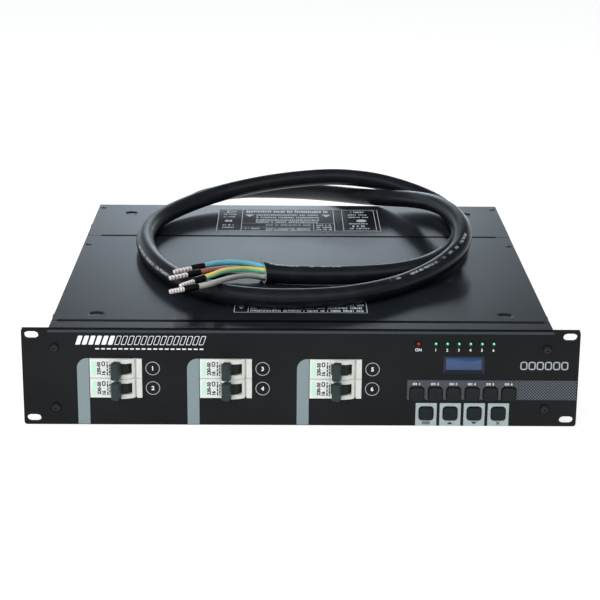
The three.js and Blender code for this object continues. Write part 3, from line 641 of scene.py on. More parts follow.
class Shader:
    """Node tree of one material or of the world."""

    def __init__(self, tree: bpy.types.NodeTree) -> None:
        """Empties a tree and keeps it."""
        self.tree = tree
        tree.nodes.clear()

    def node(self, kind: str, settings: dict | None = None, inputs: dict | None = None,
             output: int | str = 0) -> Expression:
        """Adds a node.

        Args:
            kind: the node's type, without its ShaderNode.
            settings: its properties, set first.
            inputs: values or expressions by the name or number of their socket.
            output: the socket that the result wraps.

        Returns:
            The expression of that output.
        """
        node = self.tree.nodes.new("ShaderNode" + kind)
        for key, value in (settings or {}).items():
            setattr(node, key, value)
        for key, value in (inputs or {}).items():
            if isinstance(value, Expression):
                self.tree.links.new(value.socket, node.inputs[key])
            else:
                node.inputs[key].default_value = value
        return Expression(self, node.outputs[output])

    def show(self, shade: Expression, kind: str = "OutputMaterial") -> None:
        """Links a shade to the tree's output, which is made here."""
        output = self.tree.nodes.new("ShaderNode" + kind)
        self.tree.links.new(shade.socket, output.inputs["Surface"])

    def place(self) -> Expression:
        """Object coordinates, in metres of the pack's frame."""
        return self.node("TexCoord", output="Object")

    def uv(self) -> tuple[Expression, Expression]:
        """The piece's own UV map, as two values."""
        vector = self.node("UVMap", {"uv_map": "UVMap"})
        return self.parts(vector)[:2]

    def parts(self, vector: Expression) -> tuple[Expression, Expression, Expression]:
        """X, Y and Z of a vector."""
        first = self.node("SeparateXYZ", inputs={0: vector})
        outputs = first.socket.node.outputs
        return tuple(Expression(self, outputs[axis]) for axis in range(3))

    def vector(self, x: Value, y: Value, z: Value) -> Expression:
        """Vector of three values."""
        return self.node("CombineXYZ", inputs={0: x, 1: y, 2: z})

    def stretched(self, vector: Expression, x: float, y: float, z: float) -> Expression:
        """Vector with each part multiplied by a number."""
        return self.node("VectorMath", {"operation": "MULTIPLY"}, {0: vector, 1: (x, y, z)})

    def noise(self, vector: Expression, size: float, detail: float = 2.0) -> Expression:
        """Noise between 0 and 1 whose lumps are about as large as size, in the vector's unit."""
        return self.node("TexNoise", inputs={"Vector": vector, "Scale": 1 / size, "Detail": detail})

    def mix(self, share: Value, first: Value, second: Value) -> Expression:
        """Colour that goes from the first to the second as share goes from 0 to 1."""
        return self.node("Mix", {"data_type": "RGBA"}, {0: share, 6: first, 7: second}, output=2)

    def bump(self, height: Expression, depth: float) -> Expression:
        """Normal for a height between 0 and 1 that stands for a depth in millimetres."""
        return self.node("Bump", inputs={"Height": height, "Distance": depth * MM, "Strength": 1.0})


def colour(code: str) -> tuple[float, ...]:
    """Linear colour of a six-digit code, with full alpha."""
    channels = np.array([int(code[i:i + 2], 16) for i in (0, 2, 4)]) / 255
    linear = np.where(channels <= 0.04045, channels / 12.92, ((channels + 0.055) / 1.055) ** 2.4)
    return (*linear.tolist(), 1.0)


def shaded(tone: Sequence[float], share: float, lift: float = 0.0) -> tuple[float, ...]:
    """Colour multiplied by a share and lifted by a little, with full alpha."""
    return (*(share * channel + lift for channel in tone[:3]), 1.0)


class Finish:
    """Base of all finishes: each name's material is made once and kept."""

    name: str
    made: ClassVar[dict[str, bpy.types.Material]] = {}

    def surface(self, shader: Shader) -> dict:
        """Look of the finish.

        Args:
            shader: the material's tree.

        Returns:
            Inputs of the surface shader, by socket name.
        """
        raise NotImplementedError

    def material(self) -> bpy.types.Material:
        """The finish's material, made when first asked for."""
        if self.name not in self.made:
            material = bpy.data.materials.new(self.name + "_finish")
            material.use_nodes = True
            shader = Shader(material.node_tree)
            shader.show(shader.node("BsdfPrincipled", inputs=self.surface(shader)))
            self.made[self.name] = material
        return self.made[self.name]


@dataclass(frozen=True)
class PowderCoat(Finish):
    """Satin paint with a fine grain and slight clouds of shade."""

    name: str
    tone: str
    gloss: float
    mirror: float = 0.5
    grain: float = 0.5
    grain_depth: float = 0.012

    def surface(self, shader: Shader) -> dict:
        """Grain in the bump, and clouds in colour and roughness."""
        place = shader.place()
        grain = shader.noise(place, self.grain * MM, 3)
        clouds = shader.noise(place, 60 * MM, 4)
        dust = shader.noise(place, 1.6 * MM, 2).ramp(0.62, 0.8)
        base = colour(self.tone)
        tone = shader.mix(clouds.ramp(0.3, 0.75) * 0.6 + dust * 0.25, base, shaded(base, 1.25, 0.004))
        return {
            "Base Color": tone,
            "Roughness": grain * 0.16 + clouds * 0.08 + (self.gloss - 0.12),
            "Specular IOR Level": self.mirror,
            "Normal": shader.bump(grain, self.grain_depth),
        }


@dataclass(frozen=True)
class Moulding(Finish):
    """Moulded plastic with a faint spark-eroded texture."""

    name: str
    tone: str
    gloss: float
    texture: float = 0.35
    mirror: float = 0.5

    def surface(self, shader: Shader) -> dict:
        """Texture in the bump, and handling marks in colour and roughness."""
        place = shader.place()
        grain = shader.noise(place, self.texture * MM, 2)
        marks = shader.noise(place, 9 * MM, 4)
        base = colour(self.tone)
        return {
            "Base Color": shader.mix(marks.ramp(0.35, 0.8) * 0.5 + grain * 0.12, base, shaded(base, 0.82)),
            "Roughness": marks * 0.12 + grain * 0.08 + (self.gloss - 0.1),
            "Specular IOR Level": self.mirror,
            "Normal": shader.bump(grain, 0.01),
        }


@dataclass(frozen=True)
class Metal(Finish):
    """Bare or plated metal with brush lines along one axis."""

    name: str
    tone: str
    gloss: float
    lines: tuple[float, float, float] = (1.0, 12.0, 12.0)

    def surface(self, shader: Shader) -> dict:
        """Brush lines in the bump and the roughness, and a little tarnish."""
        place = shader.place()
        brush = shader.noise(shader.stretched(place, *self.lines), 2 * MM, 3)
        tarnish = shader.noise(place, 7 * MM, 4)
        base = colour(self.tone)
        return {
            "Base Color": shader.mix(tarnish.ramp(0.45, 0.85) * 0.5, base, shaded(base, 0.6)),
            "Metallic": 1.0,
            "Roughness": brush * 0.15 + tarnish * 0.1 + (self.gloss - 0.1),
            "Normal": shader.bump(brush, 0.006),
        }


@dataclass(frozen=True)
class CrimpedTin(Finish):
    """Tinned copper with painted shade in the grooves across it, by the UV map's first value, from 0 to 1
    along it.
    """

    name: str
    tone: str
    groove: str
    ribs: int

    def surface(self, shader: Shader) -> dict:
        """Painted shade in the grooves between the ribs, and a fine grain."""
        along, _ = shader.uv()
        phase = (along * self.ribs).maths("FRACT")
        # Painted shade: the grooves between the crimped ribs are darkened where shade falls.
        groove = phase.ramp(0.5, 0.66) * (1 - phase.ramp(0.84, 1.0)) * (along > 0.06)
        grain = shader.noise(shader.place(), 0.6 * MM, 3)
        return {
            "Base Color": shader.mix(groove * 0.6 + grain * 0.12, colour(self.tone), colour(self.groove)),
            "Metallic": 0.25,
            "Roughness": grain * 0.1 + 0.26,
            "Normal": shader.bump(grain, 0.006),
        }


@dataclass(frozen=True)
class JacketRubber(Finish):
    """Rubber jacket: fine lines along it, dusty patches, and stretches of small plain marks.

    The UV map's first value is millimetres along the jacket, and the second goes once round it. Each stretch
    of marks is a start and a length in millimetres, and a place round the jacket as a share of a turn.
    """

    name: str
    tone: str
    marks: tuple[tuple[float, float, float], ...]
    diameter: float
    cut_from: float
    mark_height: float = 2.8
    mark_tone: str = "a3abaf"
    stroke: float = 0.6
    letter: float = 1.9
    word: float = 6.5
    cut_tone: str = "a4a7a8"

    def surface(self, shader: Shader) -> dict:
        """Marks in the colour, lines and talc in the bump and the roughness."""
        along, turn = shader.uv()
        around = turn * (math.pi * self.diameter)
        lines = shader.noise(shader.vector(along * 0.02, around * 3, 0.0), 1.0, 3)
        talc = shader.noise(shader.place(), 14 * MM, 5)
        printed: Any = 0.0
        for start, length, clock in self.marks:
            height = around - clock * math.pi * self.diameter
            inside = along.band(start, start + length) * height.band(0.0, self.mark_height)
            printed = inside * 1.0 + printed
        cell = shader.vector(along.cells(self.stroke), around.cells(self.stroke), 0.0)
        dots = shader.node("TexWhiteNoise", {"noise_dimensions": "2D"}, {"Vector": cell})
        letters = shader.node("TexWhiteNoise", {"noise_dimensions": "1D"}, {"W": along.cells(self.letter)})
        words = shader.node("TexWhiteNoise", {"noise_dimensions": "1D"}, {"W": along.cells(self.word)})
        printed = printed * (dots > 0.42) * (letters > 0.14) * (words > 0.16)
        base = colour(self.tone)
        body = shader.mix(talc.ramp(0.4, 0.8) * 0.6, base, shaded(base, 1.5, 0.006))
        marked = shader.mix(printed * 0.85, body, colour(self.mark_tone))
        return {
            "Base Color": shader.mix(along > self.cut_from, marked, colour(self.cut_tone)),
            "Roughness": talc * 0.12 + lines * 0.08 + 0.24,
            "Specular IOR Level": 0.4,
            "Normal": shader.bump(lines, 0.03),
        }


@dataclass(frozen=True)
class CoreInsulation(Finish):
    """Core insulation in one colour, or in two with a stripe on half of its turn."""

    name: str
    tone: str
    stripe: str | None = None
    stripe_from: float = 0.1
    stripe_to: float = 0.5

    def surface(self, shader: Shader) -> dict:
        """Stripe by the UV map's second value, with a slight blur of shade along the core."""
        _, turn = shader.uv()
        shade = shader.noise(shader.place(), 5 * MM, 3)
        base = colour(self.tone)
        plain = shader.mix(shade.ramp(0.3, 0.8) * 0.35, base, shaded(base, 0.75))
        if self.stripe:
            plain = shader.mix(turn.band(self.stripe_from, self.stripe_to), plain, colour(self.stripe))
        return {
            "Base Color": plain,
            "Roughness": shade * 0.15 + 0.28,
            "Normal": shader.bump(shader.noise(shader.place(), 1.2 * MM, 2), 0.02),
        }


@dataclass(frozen=True)
class LampLens(Finish):
    """Tinted lamp dome with a small pale spot above its tip, by the UV map: partly the lamp's glow, partly a
    painted highlight of overhead light.
    """

    name: str
    tone: str
    glow: str
    strength: float
    dome_end: float = 9 / 14
    spot_height: float = 0.35
    spot_radius: float = 0.48

    def surface(self, shader: Shader) -> dict:
        """Pale spot in the base and emission colour: partly the lit lamp's glow, partly a painted highlight
        where overhead light would reflect.

        The dome's first UV value goes evenly with the angle from its tip, so that its sine is the distance
        from the axis; the second is the clock angle. Distances are shares of the dome's radius.
        """
        along, turn = shader.uv()
        reach = (along * (math.pi / 2 / self.dome_end)).maths("SINE")
        clock = turn * (2 * math.pi)
        across = reach * clock.maths("COSINE")
        height = reach * clock.maths("SINE") - self.spot_height
        # Painted highlight: the glowing spot sits above the tip, where overhead light would reflect.
        glow_highlight = 1 - (across * across + height * height).maths("SQRT").ramp(0.1, self.spot_radius)
        glow_highlight = glow_highlight * (along < self.dome_end)
        haze = shader.noise(shader.place(), 0.8 * MM, 2)
        return {
            "Base Color": shader.mix(glow_highlight * 0.8, colour(self.tone), colour(self.glow)),
            "Roughness": haze * 0.08 + 0.14,
            "Specular IOR Level": 0.25,
            "Emission Color": shader.mix(glow_highlight, colour(self.tone), colour(self.glow)),
            "Emission Strength": glow_highlight * self.strength,
        }


@dataclass(frozen=True)
class DisplayPane(Finish):
    """Blue display behind its clear pane, paler at the top, with faint character cells."""

    name: str
    tone: str
    pale: str
    low: float
    high: float
    line: str = "1a2c50"
    column: float = 2.1
    row: float = 5.6

    def surface(self, shader: Shader) -> dict:
        """Shade by height, and the cells' grid as a slight darkening."""
        x, _, z = shader.parts(shader.place())
        rise = z.ramp(self.low * MM, self.high * MM)
        columns = (x / (self.column * MM)).maths("FRACT").band(0.0, 0.14)
        rows = (z / (self.row * MM)).maths("FRACT").band(0.0, 0.08)
        grid = columns.maths("MAXIMUM", rows)
        tone = shader.mix(rise * 0.7, colour(self.tone), colour(self.pale))
        return {
            "Base Color": shader.mix(grid * 0.12, tone, colour(self.line)),
            "Roughness": shader.noise(shader.place(), 6 * MM) * 0.08 + 0.1,
            "Coat Weight": 0.2,
        }


@dataclass(frozen=True)
class WovenPrint(Finish):
    """Printed band woven of pale and dark squares."""

    name: str
    ground: str
    thread: str
    cell: float = 1.35

    def surface(self, shader: Shader) -> dict:
        """Squares whose column and row numbers add up to an odd number are pale."""
        x, _, z = shader.parts(shader.place())
        woven = ((x.cells(self.cell * MM) + z.cells(self.cell * MM)) / 2).maths("FRACT") > 0.25
        grain = shader.noise(shader.place(), 0.5 * MM, 2)
        return {
            "Base Color": shader.mix(woven * 0.85 + grain * 0.15, colour(self.ground), colour(self.thread)),
            "Roughness": grain * 0.15 + 0.45,
            "Specular IOR Level": 0.15,
            "Normal": shader.bump(grain, 0.01),
        }


@dataclass(frozen=True)
class Ink(Finish):
    """Screen-printed ink, slightly thin in places."""

    name: str
    tone: str
    mirror: float = 0.3

    def surface(self, shader: Shader) -> dict:
        """Thin places in the colour, and a dull, uneven gloss."""
        thin = shader.noise(shader.place(), 0.7 * MM, 3)
        wide = shader.noise(shader.place(), 25 * MM, 2)
        base = colour(self.tone)
        return {
            "Base Color": shader.mix(thin.ramp(0.55, 0.8) * 0.5 + wide * 0.15, base, shaded(base, 0.78)),
            "Roughness": thin * 0.2 + 0.4,
            "Specular IOR Level": self.mirror,
            "Normal": shader.bump(thin, 0.006),
        }


@dataclass(frozen=True)
class BoardLacquer(Finish):
    """Green circuit board: tracks under lacquer, with solder dots."""

    name: str
    tone: str
    track: str = "2c7a4c"
    solder: str = "b9bcbe"

    def surface(self, shader: Shader) -> dict:
        """Square cells of a random value make the tracks, and small round spots the solder."""
        place = shader.place()
        x, y, z = shader.parts(place)
        cell = shader.vector((x + z).cells(2.6 * MM), y.cells(5 * MM), 0.0)
        tracks = shader.node("TexWhiteNoise", {"noise_dimensions": "2D"}, {"Vector": cell}) > 0.6
        spots = shader.node("TexVoronoi", inputs={"Vector": place, "Scale": 1 / (6 * MM)}) < 0.16
        tone = shader.mix(tracks * 0.5, colour(self.tone), colour(self.track))
        return {
            "Base Color": shader.mix(spots, tone, colour(self.solder)),
            "Roughness": 0.38 + shader.noise(place, 4 * MM) * 0.1,
            "Metallic": spots * 0.8,
        }


PANEL_PAINT = PowderCoat("panel_paint", "121416", 0.5, mirror=0.14)
CASE_PAINT = PowderCoat("case_paint", "15181d", 0.19, mirror=0.1)
BLACK_STEEL = PowderCoat("black_steel", "0b0c0e", 0.34, mirror=0.4, grain=0.25)
BREAKER_PLASTIC = Moulding("breaker_plastic", "d3d5cf", 0.42)
LEVER_PLASTIC = Moulding("lever_plastic", "283334", 0.42, mirror=0.25)
DRUM_PLASTIC = Moulding("drum_plastic", "0c1011", 0.4, mirror=0.35)
KEY_PLASTIC = Moulding("key_plastic", "15191b", 0.42, mirror=0.2)
OUTLET_PLASTIC = Moulding("outlet_plastic", "1c1d20", 0.35)
GLAND_PLASTIC = Moulding("gland_plastic", "1e1f22", 0.5)
FAN_PLASTIC = Moulding("fan_plastic", "17181a", 0.42)
BEZEL_PLASTIC = Moulding("bezel_plastic", "0c1016", 0.3)
BEVEL_PLASTIC = Moulding("bevel_plastic", "141f29", 0.3, mirror=0.35)
SLEEVE_PLASTIC = Moulding("sleeve_plastic", "08080a", 0.34, mirror=0.2)
CONNECTOR_METAL = PowderCoat("connector_metal", "1b1c1e", 0.4, mirror=0.5, grain=0.3)
ZINC = Metal("zinc_steel", "b4b7ba", 0.35)
NICKEL = Metal("nickel", "c9c6bd", 0.25)
# Tinned ferrules; the dark second colour is painted shade for the crimp grooves.
TIN = CrimpedTin("tinned_copper", "fdf3f1", "2c2322", 5)
ALUMINIUM = Metal("aluminium", "c0c3c6", 0.38)
WHITE_INK = Ink("white_ink", "e6e8ea")
RING_INK = Ink("ring_ink", "a3aaae")
GREY_INK = Ink("grey_ink", "808f92")
PLATE_INK = Ink("plate_ink", "a3b1b3")
# Painted shade: near-black matte strips standing in for the shaded gaps behind the panel's top and at the lid
# seams.
PAINTED_SHADE = Ink("painted_shade", "060607", 0.02)
# Painted highlight: a grey strip standing in for the light caught by the panel's top front edge.
PAINTED_HIGHLIGHT = Ink("painted_highlight", "3c4045", 0.15)
FRAME_INK = Ink("frame_ink", "a9b0b5", 0.4)
DARK_INK = Ink("dark_ink", "262c2e")
LABEL_FILM = PowderCoat("label_film", "131519", 0.36, mirror=0.1)
LABEL_PAPER = Ink("label_paper", "dfe2df")
LABEL_GREEN = Ink("label_green", "bfe5cc")
LABEL_INK = Ink("label_ink", "1c2022")
WEAVE = WovenPrint("woven_print", "030304", "636a71")
CIRCUIT_BOARD = BoardLacquer("circuit_board", "17502f")
# Lamp lenses whose pale spot is partly glow and partly a painted highlight.
RED_LENS = LampLens("red_lens", "4a060e", "b8505a", 0.1)
GREEN_LENS = LampLens("green_lens", "0a4027", "b2f0da", 0.6)


# The mains lead


@dataclass
class Core:
    """One core of the mains lead.

    Its clock angle says where it leaves the jacket. Its points are its way out, with y counted from the
    panel's front face.
    """

    colour: str
    clock: float
    points: list[tuple[float, float, float]]
    finish: Finish
    ferrule: float = 19.0


@dataclass
class MainsLead:
    """Rubber lead in two loose loops on the lids, with its gland, its cut end and five stripped cores.

    Route points count y from the panel's front face.
    """

    diameter: float = 18.0
    sides: int = 40
    spacing: float = 4.0
    lie: float = 95.8
    wall: float = 1.5
    hollow: float = 9.0
    slant: float = 0.72
    cut_back: float = 3.0
    flare: float = 1.5
    flare_length: float = 20.0
    core_radius: float = 2.6
    core_circle: float = 6.0
    sleeve_radius: float = 3.1
    sleeve_length: float = 12.0
    ferrule_radius: float = 2.3
    ferrule_ribs: int = 5
    marks: tuple[tuple[float, float, float], ...] = ((1918.0, 70.0, 0.235), (970.0, 115.0, 0.41),
                                                     (606.0, 142.0, 0.288))

    def route(self) -> np.ndarray:
        """Points that the lead runs through, from its gland to its cut end."""
        gland = node_middle("cable_gland")
        exit_y = node_high("cable_gland")[1] - FRONT_Y + SEAT
        lie = self.lie
        chosen = [
            (gland[0], exit_y, gland[2]), (gland[0], exit_y + self.diameter, gland[2]),
            (-151.5, 517, 46.5), (-137, 543, 54.5), (-114.5, 560, 65), (-88, 567, 70.5), (-61.5, 565, 74),
            (-38, 556, 76.5), (3, 528, 82.4), (38, 492, 88.8), (58.5, 470.5, 92), (82, 449, 95.2),
            (104, 427, 99.5), (121, 401, 105), (141, 350, 113.5), (152.5, 312, 115.8), (159.5, 276.5, 115.5),
            (161.5, 237, 112.7), (153.5, 195.5, 106.8), (133, 160, 100.3), (103, 125, lie), (72, 94, lie),
            (36, 73.5, lie), (0, 66, lie), (-35, 67, lie), (-70, 79.5, lie), (-97, 102, lie),
            (-122, 142, lie), (-143, 199, lie),
            (-155, 270, lie), (-148, 340, lie), (-122, 395, 98), (-84, 437, 102), (-40, 459.5, 107),
            (2, 466.5, 111.5), (37.5, 467.5, 113.7), (58, 466, 113.3), (83, 462, 111.2), (103, 457, 107.8),
            (123, 447.5, 103.6), (139, 434, 100.2), (152.5, 411, 97.8), (161.5, 374, lie), (166, 318, lie),
            (161.5, 272, lie), (151.5, 238, lie), (137.5, 204, lie), (115.5, 171, lie), (88.5, 151.2, lie),
            (60.9, 142.9, lie), (29.9, 139.4, lie), (0, 139.8, lie), (-18, 143, lie), (-38.3, 149.3, lie),
        ]
        return np.array(chosen, float) + [0.0, FRONT_Y, 0.0]

    def cores(self) -> list[Core]:
        """The five cores with their finishes."""
        return [
            Core("blue", 92, [(-48, 150, 103.6), (-61, 145.2, 106.4), (-74, 136.5, 108.2),
                              (-82.5, 127.6, 109.5), (-91.5, 120.1, 109.6)],
                 CoreInsulation("core_blue", "5ba4b6")),
            Core("green_yellow", 146, [(-50.5, 138.5, 102), (-60.5, 126, 105), (-71.2, 108, 108.6),
                                       (-79.6, 89.4, 110.6), (-88.7, 77.9, 110.4)],
                 CoreInsulation("core_green_yellow", "6fcda5", "d3bb5c", 0.02, 0.45), 17.0),
            Core("grey", 201, [(-50.5, 133.5, 96.8), (-61, 112, 101.6), (-72, 82, 107.2),
                               (-82.6, 61.2, 109.8), (-93.7, 53.3, 109.8)],
                 CoreInsulation("core_grey", "a3a39c"), 14.0),
            Core("black", 290, [(-50, 151.5, 92), (-58, 152.5, 91.6), (-66, 152, 91.6), (-75, 150, 91.6)],
                 CoreInsulation("core_black", "151517"), 14.0),
            Core("brown", 34, [(-48, 154.5, 99.6), (-61.5, 141.5, 100.8), (-76.4, 119.5, 106.6),
                               (-84.4, 107, 109.4), (-94, 98.7, 109.7)],
                 CoreInsulation("core_brown", "94594b")),
        ]

    def jacket(self, path: np.ndarray) -> Surface:
        """Tube that widens towards its end and is cut off there on a slant, with a hollow inside the cut.

        The radius swells and shrinks by a twentieth of a millimetre over hand-long waves, as a handled rubber
        jacket does, and grows by the square of the share of the flare's length that is passed. A point of the
        cut at radius r and angle a lies slant * r * cos(a) farther along, so that the opening faces a little
        to the front, and the cut's middle lies a little before the path's end. The cut's rows have UV values
        past the jacket's length.

        Args:
            path: the lead's path.

        Returns:
            The jacket.
        """
        along = np.linspace(0, path_length(path), len(path))
        swell = 0.05 * np.sin(along / 37.0) + 0.05 * np.sin(along / 61.0 + 1.0)
        flare = self.flare * ((along - along[-1]) / self.flare_length + 1).clip(0) ** 2
        body = sleeve_rows(path[:-4], (self.diameter / 2 - swell.clip(0) + flare)[:-4], self.sides)
        radius = self.diameter / 2 + self.flare
        way, side, upward = (axes[-1] for axes in path_axes(path))
        angle = full_turn(self.sides)
        out = side * np.cos(angle)[:, None] + upward * np.sin(angle)[:, None]
        bore = radius - self.wall
        depth, reach = np.array([(-1.2, radius), (-0.3, radius), (0.0, radius - 0.3), (0.0, bore + 0.3),
                                 (-0.3, bore), (-self.hollow, bore)]).T
        forward = depth[:, None] - self.cut_back + self.slant * reach[:, None] * np.cos(angle)
        forward[-1] = -self.hollow
        cut = path[-1] + forward[..., None] * way + reach[:, None, None] * out
        u = np.concatenate([along[:-4], along[-1] + np.array([-1.0, 0.0, 1.0, 2.0, 3.0, 4.0])])
        return lofted(np.concatenate([body, cut]), u=u)

    def core_path(self, core: Core, path: np.ndarray) -> np.ndarray:
        """Core's way from inside the jacket's end to its sleeve.

        Args:
            core: the core.
            path: the lead's path, at whose end the core comes out.

        Returns:
            Points at an even spacing.
        """
        way, side, _ = (axes[-1] for axes in path_axes(path))
        angle = math.radians(core.clock)
        start = path[-1] + way * SEAT + side * self.core_circle * math.cos(angle) \
            + UP * self.core_circle * math.sin(angle)
        chosen = np.array(core.points, float) + [0.0, FRONT_Y, 0.0]
        points = np.vstack([start - way * self.hollow, start - way * self.cut_back, chosen])
        return smooth_path(points, 1.5)

    def terminal(self, path: np.ndarray, length: float) -> tuple[Surface, Surface]:
        """Sleeve and ferrule on a core's end.

        The sleeve is a turned piece with rolled edges. The ferrule's radius carries crimped ribs along it,
        radius * (1 + 0.07 * sin of the ribs' angle), and its section is squared by a polygon's formula.

        Args:
            path: the core's path.
            length: length of the ferrule past the sleeve.

        Returns:
            The sleeve and the ferrule.
        """
        way = path[-1] - path[-2]
        way /= np.linalg.norm(way)
        side = np.cross(way, UP)
        side /= np.linalg.norm(side)
        axes = np.array([side, np.cross(side, way), way])
        back, tip = -self.core_radius, self.sleeve_length
        thick, slim = self.sleeve_radius, self.ferrule_radius
        sleeve = turned([
            (self.core_radius, back), (thick - 0.1, back), (thick, back + 0.5), (thick, tip - 2.5),
            (thick - 0.35, tip - 1.2), (thick - 0.6, tip - 0.2), (slim, tip), (0.4, tip),
        ], 24)
        along = np.linspace(0, 1, 65)
        ribs = 1 + 0.07 * np.sin(along * 2 * np.pi * self.ferrule_ribs)[:, None] * (along > 0.06)[:, None]
        square = polygon_radius(full_turn(24), 4, np.array(0.45))[None, :]
        radius = slim * ribs * square
        radius[-1] *= 0.85
        ferrule = lofted(rings(radius, tip - 0.4 + along * (length + 0.4)))
        return sleeve.mapped(axes, path[-1]), ferrule.mapped(axes, path[-1])

    def gland(self) -> Surface:
        """Gland along Y: each row is a circle or a softened hexagon at a distance from the rear panel."""
        middle = node_middle("cable_gland")
        profile = [
            (12.0, -9.0, 0), (12.0, -6.8, 0), (15.8, -6.8, 1), (15.8, -2.1, 1), (12.0, -2.1, 0),
            (12.0, 0.0, 0), (16.4, 0.0, 1), (17.2, 0.8, 1), (17.2, 6.2, 1), (16.4, 7.0, 1), (13.6, 7.0, 0),
            (13.2, 8.2, 0), (13.6, 9.4, 0), (13.2, 10.6, 0), (13.6, 12.0, 0), (16.6, 12.0, 1),
            (17.2, 12.8, 1), (17.2, 18.5, 1), (16.2, 20.6, 0.6), (13.6, 22.6, 0.2), (11.9, 23.2, 0),
            (11.2, 24.0, 0), (11.2, 27.2, 0), (10.7, 28.0, 0), (9.3, 28.0, 0), (9.1, 24.0, 0),
        ]
        axes = np.array([[1, 0, 0], [0, 0, 1], [0, 1, 0]], float)
        return hexed(profile, 72).mapped(axes, (middle[0], REAR_Y + SEAT, middle[2]))

    def build(self) -> None:
        """Makes the lead, its cores and its gland."""
        path = smooth_path(self.route(), self.spacing)
        length = path_length(path)
        rubber = JacketRubber("lead_rubber", "0a0e14", self.marks, self.diameter, length + 0.5)
        lead = publish("mains_lead_jacket", self.jacket(path), rubber,
                       nodes=["mains_lead"], crease=50)
        gland = publish("mains_gland", self.gland(), GLAND_PLASTIC,
                        nodes=["cable_gland"], crease=25)
        for core in self.cores():
            self.build_core(core, path)
        self.diameter * MM

    def build_core(self, core: Core, path: np.ndarray) -> None:
        """Makes one core with its sleeve and ferrule.

        Args:
            core: the core.
            path: the lead's path, at whose end the core comes out.
        """
        way = self.core_path(core, path)
        radius = np.full(len(way), self.core_radius)
        along = np.linspace(0, path_length(way), len(way))
        wire = publish(f"core_{core.colour}_insulation", lofted(sleeve_rows(way, radius, 20), u=along),
                       core.finish, nodes=[f"core_{core.colour}"])
        sleeve, ferrule = self.terminal(way, core.ferrule)
        ends = [
            publish(f"core_{core.colour}_sleeve", sleeve, SLEEVE_PLASTIC),
            publish(f"core_{core.colour}_ferrule", ferrule, TIN, crease=60),
        ]


# The front


